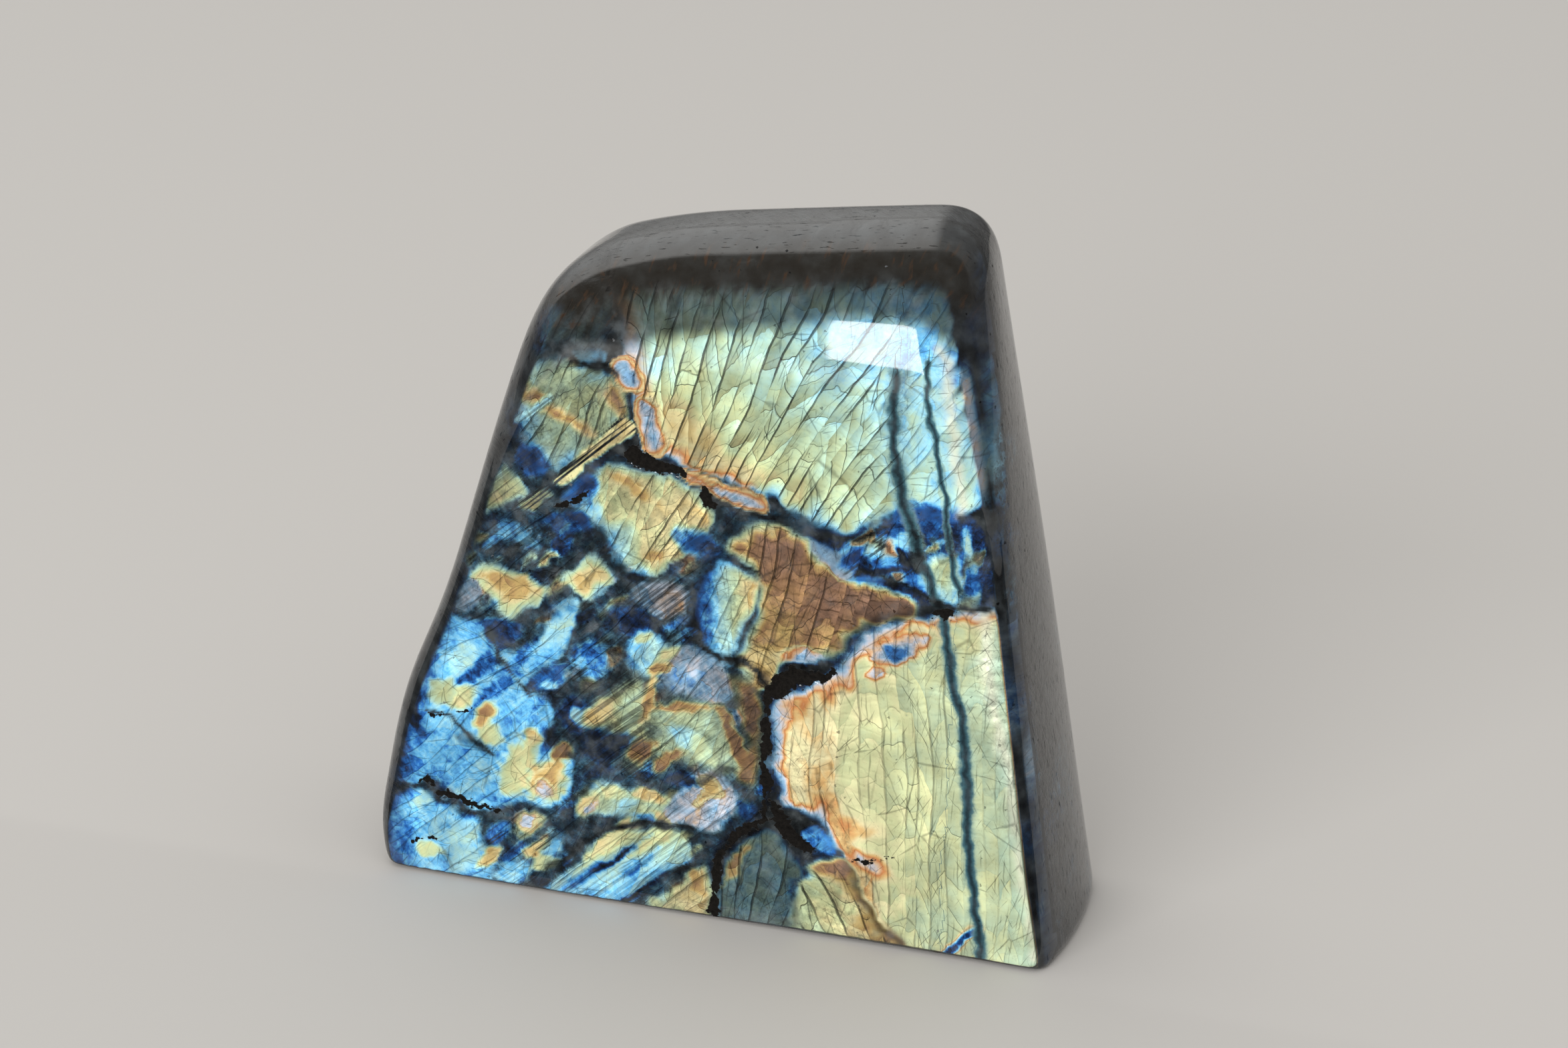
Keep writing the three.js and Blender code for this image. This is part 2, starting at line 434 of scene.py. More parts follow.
# %% [markdown]
# ## Grains of the left shoulder
#
# Under the left shoulder lies an olive grain with orange bands, and across its lower corner a
# bundle of thin twin layers that catch the light as gold streaks. Below it is a shell-shaped grain,
# cream in the middle and broadly cyan and blue along its left.

# %% Paint the left shoulder
grain(
    [(-47, 116), (-47.5, 109), (-45, 103), (-41.5, 98.5), (-37, 95.5), (-31, 99), (-25, 103),
     (-20.5, 107), (-20, 113), (-21.5, 118), (-25.5, 120.5), (-32, 121.5), (-38, 123), (-44, 121)],
    0.5, 5, 0.52, lean=(0.004, 0.002), cleave=62, twins=0.2, wide=(235, 3), cracks=0.7, joint=0.7,
)
grain(
    [(-47, 117), (-41, 114.5), (-34, 110.5), (-28, 107), (-29, 104.5), (-35, 107.5), (-42, 111),
     (-47, 112.5)],
    0.8, 2.6, 0.72,
)
grain([(-26, 119), (-22, 117.5), (-20.5, 112), (-23, 110), (-25, 114)], 0.82, 2.5, 0.5)
grain(
    [(-46, 136), (-38, 139), (-27, 138), (-24, 130), (-27, 124), (-36, 124), (-44, 124)],
    0.33, 5, 0.3, cleave=64, twins=0.2,
)
grain([(-34, 124), (-30, 124.5), (-26, 123.5), (-29, 121.5), (-33, 122)], 0.24, 1.5, 0.6)
grain(
    [(-37.5, 95), (-32.5, 100), (-27, 105.2), (-21.5, 110.6), (-19.7, 107.6), (-25, 103.2), (-30, 99),
     (-34.5, 95)],
    0.64, 0.8, 0.95, twins=1,
)
grain([(-49, 105.5), (-44, 109.5), (-39, 113.5), (-38, 113), (-43, 108.5)], 0.4, 0.8, twins=0.6)
grain(
    [(-35, 91), (-30.5, 94.5), (-27, 98.4), (-22, 100), (-14, 99.7), (-8, 98), (-3.5, 95.5), (-1, 92),
     (-2.5, 88.5), (-6, 85.5), (-9, 81), (-13, 76.8), (-18.5, 76.2), (-22.5, 78.5), (-25.5, 83.5),
     (-30, 87)],
    0.62, 3.4, 0.85, lean=(0.004, 0), soft=0.3, cleave=58, twins=0.05, wide=(200, 6), cracks=0.75,
    joint=0.6,
)
spot(-28.5, 90, 2.2, 5, 40, 0.19, 0.85, None, 0.1)
spot(-19, 95.5, 7, 2, -25, 0.77, 0.8, None, 0.1)
spot(-14, 81.5, 3, 1.8, 20, 0.77, 0.8, None, 0.1)
print("grains so far:", len(grains_made))

# %% [markdown]
# ## Lavender eyes
#
# Where the shoulder's grains meet the upper one, a chain of small pale lavender crystals lies
# between them. Each has a rim of orange all round, so it is painted twice: a little too large in
# the orange's order, and then at its own size.

# %% Paint the lavender eyes
for eye in (
    [(-25, 121), (-23.5, 123), (-20, 122.7), (-17.7, 120), (-18.4, 117.4), (-22, 118)],
    [(-19, 111.8), (-17.6, 115.2), (-15.2, 114.4), (-14.2, 111), (-13.2, 108), (-12.6, 105.5),
     (-13.8, 103.6), (-16.5, 103.4), (-17.4, 106), (-18.4, 109)],
    [(-8.6, 101), (-3.4, 100), (1.3, 98.7), (6.7, 97.1), (10.3, 95.4), (9.2, 93.8), (4.5, 94.4),
     (-0.2, 96), (-4.9, 97.9), (-8, 99.2)],
):
    grain(eye, 0.62, 0.6, 0.8, fringed=1, grow=0.9)
    grain(eye, 0.27, 1.7, 0.74, fringed=1, grow=0.1)
spot(-4, 99.2, 5, 1.1, -18, 0.6, 0.6, 1.0, 0.1)
print("grains so far:", len(grains_made))

# %% [markdown]
# ## The copper grain and its neighbours
#
# Where the layers are thickest the flash is copper and then brown. The grain in the middle of the
# stone is like that above, and gold below, and its left neighbour runs from blue to yellow-green.

# %% Paint the middle of the stone
grain(
    [(1.5, 84.5), (4.5, 88.5), (8.5, 91.3), (13.5, 91.5), (19.5, 90), (22, 86.5), (26, 83.5), (31, 81.5),
     (38, 80), (43, 78.5), (43, 75.5), (37, 73), (31, 69.5), (27, 65), (23, 62.5), (16, 61), (14.5, 57),
     (12, 54.6), (9, 55), (6, 58), (5.5, 63), (8, 69), (9.5, 75), (7.5, 80)],
    0.84, 3.0, 0.74, lean=(0.003, 0.0055), cleave=78, twins=0, wide=(150, 1.5), wrinkles=1.0, soft=0.4,
    cracks=0.7, joint=0.3,
)
grain(
    [(20, 89.5), (24, 89), (28, 87), (30.5, 84), (28, 81.8), (24, 83.5), (21, 86)],
    0.3, 2.2, 0.55, fringed=1,
)
grain([(14, 63.5), (19, 65), (24, 63.8), (20, 61.8), (15, 61.5)], 0.3, 1.6, 0.8, fringed=1)
grain([(31, 74), (35, 77.5), (40, 78), (42, 76), (38, 73.5), (34, 72.5)], 0.95, 2, 0.6)
grain(
    [(-4.5, 70), (-3.5, 76.5), (-0.5, 81), (4, 81.3), (8, 79), (9.3, 75), (7.5, 70.5), (6, 66), (5, 61.5),
     (1, 60.8), (-2.5, 64.5)],
    0.44, 2.4, 0.85, lean=(0.05, 0.004), cleave=74, twins=0, joint=0.35, soft=0.35,
)
spot(-2, 70, 1.8, 6, 8, 0.2, 0.5, None, 0.1)
spot(12, 62, 7, 3.2, 15, 0.68, 0.85, None, 0.1)
grain(
    [(-19.5, 72), (-15, 76), (-10, 76.5), (-5.5, 74.5), (-7.5, 70), (-12, 67.5), (-16, 68.5)],
    0.36, 3, 0.45, lean=(0.01, 0), fringed=1, twins=0.7,
)
print("grains so far:", len(grains_made))

# %% [markdown]
# ## Blue along the great vein
#
# Between the two great grains of the right side the crystals are small and mostly blue.

# %% Paint the blue zone
for patch in (
    (30, 87, 4, 2.6, 40, 0.15, 0.8), (34.5, 88.3, 3.2, 1.8, 20, 0.32),
    (36.5, 86.5, 5, 2, 0, 0.19, 0.95), (40.3, 91.3, 3, 1.9, 20, 0.34),
    (39, 93.5, 5, 1.6, 20, 0.15, 0.8), (33, 82.5, 5, 1.3, 5, 0.22, 0.6),
    (31.5, 82, 1.6, 1.2, 60, 0.2, 0.9), (42, 83.5, 2.4, 3, 60, 0.18, 0.9),
    (28, 89, 3, 1.2, 40, 0.24, 0.7), (46, 94.5, 4, 1.8, -10, 0.14, 0.8),
    (54.3, 92.5, 4, 1.6, 100, 0.35), (52.5, 89, 3, 1.2, 60, 0.22), (55.5, 85, 5, 2, 95, 0.18, 0.9),
    (36, 84.5, 7, 1, 10, 0.08, 0.3), (41, 87.5, 3, 1, -60, 0.06, 0.3),
):
    spot(*patch)
grain(
    [(43.5, 83.5), (45.5, 88), (49, 90.3), (52.5, 88.5), (53.5, 83), (51.5, 78.5), (48, 79.5), (45, 81)],
    0.54, 4.2, twins=0,
)
print("grains so far:", len(grains_made))

# %% [markdown]
# ## The great lower grain
#
# The second great crystal fills the lower right, yellow-green and paler towards the right edge. Its
# left rim goes through the whole second order of colours: blue, lavender, orange and cream. A long
# blue eye with an orange lid lies along its upper rim.

# %% Paint the great lower grain
grain(
    [(19, -6), (19.5, 8), (22, 13), (26, 18), (31, 19.5), (38, 16), (44, 9), (50, -6)],
    0.6, 2.5, 0.85, lean=(0.004, 0), cleave=120, fan=0.5, twins=0, cracks=0.9,
)
grain([(22, 16), (27, 19.5), (31.5, 19), (34, 14), (38, 8.5), (33, 11), (28, 14)], 0.84, 3, 0.75)
grain(
    [(26, 64), (30, 68.5), (35, 72.5), (41, 75.2), (46, 77), (52, 78.5), (60, 80), (68, 72), (72, 58),
     (76, 44), (80, 30), (84, 14), (86, -12), (70, -14), (55, -14), (47, -4), (43, 3), (38, 8),
     (33.5, 14.5), (31, 20.2), (27, 22.5), (24.5, 26.5), (20, 27.5), (16, 28), (14.5, 33), (13, 38),
     (12.3, 45), (12.8, 51.5), (16, 55.5), (21.5, 59)],
    0.8, 8.5, 0.88, lean=(0.0042, 0.0012), fringed=1, clouded=0.06, cleave=92, fan=0.15, twins=0,
    wide=(130, 2.5), soft=0.2, grow=0.2, cracks=0.38,
)
spot(22, 44, 12, 6, 85, 0.65, 1.0, 1.0)
spot(24, 36, 6, 4, 60, 0.6, 1.0, 1.0)
spot(66, 34, 50, 12, 102, None, 0.68, None, 0.0)
spot(48, 6, 18, 12, 0, 0.84, 0.66, None, 0.0)
spot(50, 68, 14, 9, 0, 0.82, 0.8, None, 0.0)
grain([(18, 31), (17, 36), (18.5, 41), (21, 44), (22, 38), (22, 31), (20, 28.5)], 0.66, 2, fringed=1)
grain(
    [(26.5, 31), (28.5, 30.5), (31, 25.5), (33, 21), (37, 13), (41.5, 5.5), (38.5, 8), (33.5, 15),
     (30.5, 21), (27.5, 25)],
    0.56, 2.2, 0.9, fringed=1,
)
grain(
    [(34, 65), (37.5, 68.8), (42, 71.3), (46.3, 72.3), (47.5, 70), (44.5, 66.8), (40, 64.6)],
    0.15, 3.4, 0.75, fringed=1,
)
grain([(33.5, 61.5), (36, 63.8), (38.5, 63.2), (37.5, 61), (35, 60.6)], 0.36, 1.8, fringed=1)
grain([(21, 22), (24, 26.5), (27.5, 23.5), (28.5, 20.5), (25, 20.3)], 0.22, 1.8, 0.85)
grain([(56, 68), (59, 79), (66, 72), (71, 53), (75, 36), (66, 40), (60, 54)], 0.92, 6, fringed=1)
grain([(51, -2), (56, 5), (60, 9.5), (61.5, 8.5), (57.5, 3.5), (54, -2)], 0.12, 1.4)
print("grains so far:", len(grains_made))

# %% [markdown]
# ## Small crystals of the left edge
#
# The left of the stone is a jumble of small crystals in black: a gold kite and a gold diamond with
# blue rims, and dull blue flecks between them.

# %% Paint the left edge
grain(
    [(-54, 86.5), (-51.5, 94), (-48.5, 97), (-45, 94), (-43.5, 91), (-47, 89), (-50.5, 87)],
    0.6, 2.6, 0.6, lean=(0, -0.012), twins=0.5,
)
grain([(-46, 88), (-41, 92.5), (-38, 91.5), (-41.5, 88.3)], 0.6, 1.6, 0.5, twins=1)
grain(
    [(-54, 77.5), (-51, 82.5), (-47, 85), (-43.5, 83.5), (-39.5, 80), (-43, 79.6), (-47, 80.5),
     (-50, 79.5)],
    0.26, 2.4, 0.6, twins=0.7,
)
grain(
    [(-57, 70), (-55, 74), (-49, 74), (-43, 73.3), (-37.5, 71.3), (-40.5, 67.5), (-44, 64), (-47, 61.8),
     (-50, 63.5), (-52.5, 67)],
    0.72, 4.2, 0.9, lean=(0.002, 0.012), twins=0.1, wide=(200, 1.5), clouded=0.1, soft=0.3,
)
grain(
    [(-35.5, 74), (-31.5, 77.3), (-28, 80), (-25, 78), (-22.5, 75), (-25.5, 70.8), (-29, 69.3), (-33, 71)],
    0.7, 3.8, twins=0, wide=(-10, 2), clouded=0.1, soft=0.3,
)
grain([(-61, 64), (-58.5, 69), (-54.5, 70), (-53.5, 66), (-57, 62.5)], 0.3, 2.5, 0.4, fringed=1)
for fleck, its_order, its_strength in (
    ([(-40, 86), (-33, 88.5), (-28, 86), (-33, 83), (-38, 84)], 0.13, 0.5),
    ([(-37, 86), (-34, 87), (-33, 84.5), (-36, 84)], 0.26, 0.35),
    ([(-58, 60), (-50, 62), (-44, 61), (-49, 58), (-55, 58.5)], 0.13, 0.6),
    ([(-10, 88), (-4, 88), (1, 84), (-3, 81), (-8, 83)], 0.16, 0.55),
    ([(-24, 68), (-18, 69), (-14, 65), (-19, 62)], 0.1, 0.5),
    ([(-36, 92), (-30, 97), (-27, 94), (-32, 89)], 0.13, 0.7),
    ([(-46, 100), (-42, 103), (-38, 98), (-41, 95), (-45, 96)], 0.13, 0.6),
):
    grain(fleck, its_order, 2.5, its_strength, twins=0.4)
print("grains so far:", len(grains_made))

# %% [markdown]
# ## The blue field
#
# The lower left is one large sky-blue crystal, crossed by dark cracks, with gold and cream patches
# in it where the layers are thicker. They are soft ovals: place, half lengths and turn, then order,
# strength and the share of the paler second order.

# %% Paint the blue field
grain(
    [(-67, 58), (-60, 61), (-54, 60.5), (-49, 56), (-44, 56), (-40, 61), (-37, 68), (-31, 69),
     (-31.5, 62), (-35, 56), (-40, 51), (-43, 48), (-38, 46), (-35.5, 40), (-38, 36), (-33, 34.5),
     (-31, 31), (-32, 26), (-34, 22), (-38, 20), (-43, 20.5), (-47, 18.5), (-54, 17), (-61, 19),
     (-66, 22), (-72, 20), (-78, 24), (-76, 36), (-73, 46)],
    0.27, 3.4, lean=(0.0006, 0.0006), twins=0.1, wide=(180, 4), cracks=0.3, clouded=0.08,
)
for patch in (
    (-58, 52, 6, 3.5, 75, 0.37), (-62, 55, 4, 3, 60, 0.28), (-54, 50, 8, 2.2, 48, 0.15, 0.95),
    (-64, 47, 5, 3, 60, 0.24), (-46, 52, 8, 2, 48, 0.19), (-62, 43, 3.5, 4.5, 70, 0.56, 0.7),
    (-57.5, 43, 4.5, 2.2, 40, 0.62), (-50, 46, 9, 1.6, 46, 0.17), (-52.5, 40, 4.5, 2.6, 60, 0.8),
    (-51, 35, 3.2, 3.6, 20, 0.58), (-44.5, 42, 6, 4, 20, 0.28), (-40.5, 36, 2.4, 2, 40, 0.74, 0.8),
    (-45.5, 28, 8, 3.6, 70, 0.55), (-43, 30, 7, 3, 60, 0.62), (-38, 27, 6.5, 4.6, 60, 0.73),
    (-38.5, 24.5, 2.8, 2.2, 60, 0.33, 0.95, 1.0), (-34, 34, 4, 2.2, 20, 0.84, 0.45),
    (-36, 61, 7, 3, 55, 0.37), (-34, 67, 3.5, 1.6, 0, 0.28, 0.6), (-54, 25, 6, 4, 42, 0.31, 0.7),
    (-30, 43, 5, 5, 0, 0.07, 0.5), (-28.5, 56, 5, 4.6, 40, 0.2), (-30.5, 55, 2.4, 2, 0, 0.3),
    (-37, 50.5, 4.5, 3, 40, 0.17, 0.85), (-37.5, 48.6, 2.2, 1.4, 0, 0.34),
    (-48, 59, 5, 2.5, 10, 0.12, 0.5), (-72, 42, 3, 12, 20, 0.1, 0.5),
):
    spot(*patch)
print("grains so far:", len(grains_made))

# %% [markdown]
# ## The bottom edge
#
# Along the bottom lie a second blue crystal, a row of diagonal bands that are gold above and
# cyan below, and a dull grey-teal one whose layers hardly reach the order that flashes.

# %% Paint the bottom edge
grain(
    [(-75, 18), (-69, 19.5), (-64.5, 18), (-58, 16.5), (-54, 15), (-52, 9.5), (-49, 6), (-50, 1),
     (-50, -8), (-62, -10), (-76, -10), (-82, 8)],
    0.28, 3.4, twins=0.1, wide=(180, 2.5), cracks=0.3, clouded=0.1,
)
for patch in (
    (-67, 17.5, 4, 2, 20, 0.36), (-57, 11, 5, 3.5, 42, 0.37, 0.85), (-56, 5, 6, 3, 42, 0.36, 0.75),
    (-65, 6, 3.4, 1.8, 0, 0.56), (-51.5, 6, 5, 1.6, 50, 0.72, 0.9), (-70, 8, 3, 5, 0, 0.22),
    (-42, 15.5, 5.4, 3.2, 45, 0.72, 0.75), (-42, 16, 3.2, 1.8, 45, 0.32, 0.8, 1.0),
    (-49, 13, 4, 2.4, 40, 0.18, 0.75), (-40, 10, 5, 1.8, 45, 0.7, 0.85),
    (-35.5, 12, 4, 2.4, 50, 0.3, 0.6), (-45, 4, 6, 3.6, 30, 0.3), (-38, 7.5, 4, 1.8, 30, 0.56, 0.9),
    (-45, 8.5, 5, 1.4, 45, 0.13, 0.6),
):
    spot(*patch)
grain(
    [(-40, -2), (-34, 6), (-29, 10), (-25, 14), (-20, 18), (-15, 19), (-9, 20), (-5, 19), (-4, 14),
     (-8, 10.5), (-13, 6), (-20, -2), (-30, -8)],
    0.34, 2.2, lean=(-0.008, 0.022), twins=0.45, clouded=0.03,
)
for patch in (
    (-23, 14.5, 8, 2.2, 40, 0.62, 1.1), (-12, 17.5, 8, 2.6, 40, 0.58, 1.1),
    (-28, 6, 12, 1.5, 40, 0.22), (-20, 8, 13, 1.4, 40, 0.33, 1.15), (-18, 4, 9, 1.8, 40, 0.3),
    (-15, 11, 9, 0.9, 40, 0.24, 0.9), (-16.5, 3.4, 10, 0.9, 40, 0.05, 0.2, 0.0, 0.0),
    (-21.5, 11, 12, 1.0, 40, 0.05, 0.15, 0.0, 0.0), (-18, 20, 5, 1.8, 20, 0.7, 0.7),
):
    spot(*patch)
grain(
    [(-19, -4), (-9, 6), (-4, 10.5), (-0.5, 12.5), (1.5, 8), (2.5, 2), (0, -8)],
    0.6, 3.0, 0.75, lean=(0.01, 0), twins=0.3,
)
spot(-2, 8, 4, 1.8, 110, 0.78, 0.7)
grain(
    [(3, -4), (2.6, 10), (4.5, 16), (8, 20), (12, 23), (15, 22.5), (19, 20), (21.5, 15), (19.5, 9),
     (19, -4), (11, -10)],
    0.37, 2.6, 0.15, cleave=84, fan=0.9, twins=0.1, cracks=0.8,
)
spot(6, 14, 6, 1.6, 60, 0.78, 0.4)
print("grains so far:", len(grains_made))

# %% [markdown]
# ## The swirl in the lower middle
#
# Here several small crystals curl round each other: olive ones full of twin streaks, a green and
# cyan one under an orange arc, a pale lavender one above it, and a row of mixed gold and white.

# %% Paint the swirl
grain(
    [(-31, 41), (-28, 46.5), (-24, 50.5), (-20, 54), (-16, 55.5), (-13, 50), (-12.5, 43), (-13, 36),
     (-19, 31.5), (-24, 34), (-25, 39)],
    0.58, 4.5, 0.5, twins=0.7, soft=1.0, clouded=0.5,
)
grain(
    [(-20.5, 57), (-18, 63.5), (-14, 64), (-10, 61.5), (-8, 58), (-12, 54), (-17, 53.5)],
    0.38, 3.2, 0.95, lean=(0.03, 0.01), twins=0.2,
)
grain(
    [(-14, 48), (-9, 51), (-2, 52), (4, 49), (8, 43), (9.5, 36), (5, 32), (-3, 33.5), (-9, 34.5),
     (-14, 35.5), (-14.5, 42)],
    0.5, 3.5, 0.65, twins=0.3, soft=1.0,
)
grain(
    [(-13, 51.5), (-11, 57), (-7, 61.5), (-1.5, 61), (3.5, 57.5), (4.5, 52.5), (-2, 50.5), (-8, 50.3)],
    0.28, 3.4, 0.6, fringed=1, twins=0.25,
)
grain(
    [(3.5, 57), (9, 56), (11.3, 52), (11.5, 41), (10, 33), (6, 33), (8, 42), (5, 50)],
    0.86, 3, 0.4, twins=0.3, soft=1.0,
)
grain(
    [(-31, 20.5), (-29.5, 25), (-26, 28.5), (-20, 29), (-14, 28.3), (-9, 27), (-8, 23), (-13, 20.3),
     (-19, 21.5), (-24, 20.5), (-28, 18.8)],
    0.5, 3, 0.8, twins=0.25,
)
grain(
    [(-10.5, 23), (-8, 27.5), (-5.5, 31.5), (-1, 34), (3.5, 33), (6.5, 29), (4.5, 23.5), (0, 20.3),
     (-5, 20.8)],
    0.33, 3, 0.95, fringed=1, twins=0.3,
)
for patch in (
    (-26, 44, 5, 3, 50, 0.68, 0.75), (-18, 46, 6, 3.5, 75, 0.5, 0.75),
    (-14.5, 50, 7, 1.6, 82, 0.74, 0.8), (-24, 36.5, 7, 4.6, 20, 0.12, 0.14),
    (-16, 36.5, 5, 2.6, 45, 0.82, 0.5), (-31, 43, 2, 2.4, 0, 0.36, 0.8),
    (-18, 60, 3, 2.4, 60, 0.32), (-16, 62.5, 3, 1.2, 30, 0.56),
    (-10.5, 59.5, 3.5, 1.6, 40, 0.62, 0.9), (-13, 55.5, 3.5, 1.6, 30, 0.76, 0.8),
    (-7, 55, 5, 2.6, 50, 0.22, 0.75, 1.0), (-4, 57.5, 3, 1.8, 60, 0.35, 0.85, 1.0),
    (-7, 48.2, 7, 1.3, 6, 0.8, 0.8), (3, 46.5, 5, 1.8, -50, 0.8, 0.6),
    (-4, 45.5, 6, 1.8, -18, 0.5, 0.9), (-6, 41, 5, 3, -30, 0.36, 0.9),
    (-2, 38.5, 5, 2.4, -50, 0.52), (6, 41, 9, 2.2, -62, 0.84, 0.45), (-6, 31, 5, 2.2, 0, 0.13, 0.4),
    (-10, 35, 5, 1.5, 30, 0.82, 0.5), (-28, 22.5, 4.6, 2.4, 60, 0.7, 0.9),
    (-27, 22, 3, 1, 60, 0.33, 0.9, 1.0), (-22, 26.5, 4.5, 1.8, 20, 0.62),
    (-19, 24, 4, 1.6, 45, 0.38, 0.9), (-14, 27, 4.5, 1.4, -10, 0.7, 0.9),
    (-14, 22, 3.5, 1.5, 10, 0.2, 0.7), (-10.5, 22.5, 3.5, 1.2, -30, 0.7, 0.9),
    (0, 31, 3.5, 2, -30, 0.7, 0.85), (-1.5, 27.5, 5, 1.2, 50, 0.74, 0.8),
    (3.5, 27, 4, 1.8, 70, 0.33, 0.95, 1.0), (-5, 24, 4, 2.2, 20, 0.34, 0.95, 1.0),
    (8, 27, 2.5, 3, 0, 0.16, 0.5),
):
    spot(*patch)
print(len(grains_made) - strewn, "grains painted; the largest has", max(grains_made), "vertices")

# %% [markdown]
# ## Long cracks, and a painted highlight along the right edges
#
# Two long cracks run down the right of the show face, healed and filled with black. The layers thin
# out towards them, so the flash turns blue and goes out within a few millimetres. The map keeps the
# distance to each crack with a sign for its side, because a signed distance stays sharp between
# vertices and its middle can be drawn finer than the mesh. Along the rounded right edge and the lower
# right edge a highlight is painted into the flash, so that it is nearly white there.

# %% Measure the long cracks and paint a highlight along the right edges
CRACK_REACH = 4.0  # mm over which the map measures a crack
EDGE_HIGHLIGHT_WHITE = 0.7  # the share of white in the middle of the bright edge


def beside(line):
    """Signed distance to an open line that runs down the face, negative to its left."""
    points = np.array(line, float)
    gap, way, _ = measured(points[:-1], points[1:], across, up)
    return -np.sign(way[0]) * np.minimum(gap, CRACK_REACH)


first_crack = beside(
    [(37, 127), (37.2, 120), (38, 110), (39.8, 101), (42.5, 93), (46.5, 82), (50.5, 72),
     (52.5, 63), (55, 54), (56.5, 44), (57.5, 33), (58.5, 22), (60.2, 10), (62, 0)]
)
second_crack = beside([(43.2, 130), (44, 122), (46.3, 112), (48.2, 102), (50, 92), (52.5, 82)])
right_edge = beside([(45.5, 133), (47.5, 130), (48, 124), (49, 120), (50, 112), (51.6, 104), (52.4, 99)])
lower_edge = beside([(58, 78), (59.6, 66), (62, 56), (65.8, 45), (68, 35), (69.9, 25), (72, 16), (74, 4)])
# Painted highlight: near-white is mixed into the flash close to the rounded right and lower right edges.
edge_highlight = EDGE_HIGHLIGHT_WHITE * (np.exp(-((right_edge / 1.2) ** 2)) + np.exp(-((lower_edge / 1.5) ** 2)))
print("vertices within 1 mm of a long crack:", int((np.abs(first_crack) < 1).sum()))

# %% [markdown]
# ## Dark seams
#
# Thinner seams between the grains are filled with stone that doesn't flash. They are polished over,
# so they are only dark, and they come and go.

# %% Darken the seams
for line, width in (
    ([(-3, 96), (1, 94.8), (4, 93.5), (9, 92.6), (16, 92), (24, 90.3), (31, 91), (37, 94)], 1.0),
    ([(-34, 121.8), (-31, 121), (-27, 122), (-24, 120)], 0.9),
    ([(-19, 1), (-14, 5.5), (-8, 9.5), (-3, 12.5)], 1.0),
    ([(-42, 1), (-36, 7.5), (-30, 12.5), (-23, 18), (-14, 21), (-4, 21)], 1.3),
    ([(12.5, 56), (6, 60.5), (1, 59.5), (-4, 63)], 0.9),
    ([(31, 84), (37, 83), (44, 80.5), (52, 78.2), (59, 79)], 1.0),
    ([(-66, 39), (-60, 38), (-56, 34), (-50, 30)], 0.5),
    ([(-52, 58), (-46, 50), (-42, 46)], 0.8),
    ([(5, 35), (-3, 31), (-12, 31), (-20, 30), (-32, 33)], 1.2),
    ([(9, 80.5), (5, 82), (0, 84), (-5, 83)], 0.8),
):
    points = np.array(line, float)
    at = within(points, 3)
    gap, _, _ = measured(points[:-1], points[1:], across[at], up[at])
    flash[at] *= smooth(0.25 * width, 0.5 * width + 0.7, gap * (1 + uneven[at]))
flash *= contact
print("seams darken", int((flash < 0.1).sum()), "vertices")

# %% [markdown]
# ## Hollows and veins
#
# Between the grains lies matt black stuff that doesn't take a polish: it breaks out in pits and
# leaves a sunken vein. Each hollow is an outline or a line with a width, measured like the cracks,
# and its vertices are pushed into the stone, so it is there in the mesh as well.

# %% Measure the hollows and sink them
HOLLOW_REACH = 2.0  # mm over which the map measures a hollow
HOLLOW_DEPTH = 0.7  # mm at the deepest

hollow = np.full(count, HOLLOW_REACH)
for outline in (
    [(-20.5, 104.5), (-16, 103), (-9, 101.5), (-8.5, 99.5), (-13, 99.8), (-18, 100.5), (-21, 102)],
    [(11.5, 54), (14, 58), (18, 60.3), (23, 60), (27, 63), (25, 58.8), (19, 56.5), (15, 53)],
    [(-65, 19.8), (-62, 18.6), (-58, 18.2), (-53, 17.6), (-48, 18), (-54, 18.6), (-61, 19.8)],
    [(-5, 98), (-2.5, 96.5), (-1.5, 93.5), (-4, 95)],
    [(46, 76.4), (48.5, 77.8), (52.5, 77.2), (50.5, 76)],
    [(14, 29), (17, 26.5), (21, 23), (24, 20), (20, 20.5), (15, 23.5)],
    [(-37, 89), (-34, 91), (-30, 93), (-33, 90)],
):
    curve = rounded(outline)
    at = within(curve, HOLLOW_REACH)
    gap, _, inside = measured(curve, np.roll(curve, -1, 0), across[at], up[at])
    hollow[at] = np.minimum(hollow[at], np.where(inside, -gap, gap))
for line, width in (
    ([(12.6, 54), (12.2, 46), (12, 38), (13, 31), (12, 25), (6, 21), (2.5, 15), (1.5, 8), (2.5, -2)], 1.5),
    ([(-69, 21), (-67, 22.5), (-65.5, 22.2), (-64.5, 20.5)], 0.6),
    ([(-67, 38.8), (-63.5, 37.8), (-59, 39), (-56, 40.5)], 0.25),
    ([(30, 20), (36, 19), (41, 21.5)], 0.3),
    ([(-68.5, 7.2), (-66, 8.2), (-63.5, 8.6)], 0.4),
):
    points = np.array(line, float)
    at = within(points, HOLLOW_REACH + width)
    gap, _, _ = measured(points[:-1], points[1:], across[at], up[at])
    hollow[at] = np.minimum(hollow[at], gap - width * (0.5 + 0.5 * uneven[at]))

for index in np.flatnonzero((hollow < 0) & (places[:, 2] > 0.5)):
    vertex = stone_mesh.vertices[index]
    roughness = 0.55 + 0.45 * noise.noise(vertex.co / (1.1 * MM))
    sunk = roughness * HOLLOW_DEPTH * min(-hollow[index], 1.0)
    vertex.co -= Vector(normals[index]) * sunk * MM
print("vertices sunk in hollows:", int((hollow < 0).sum()))
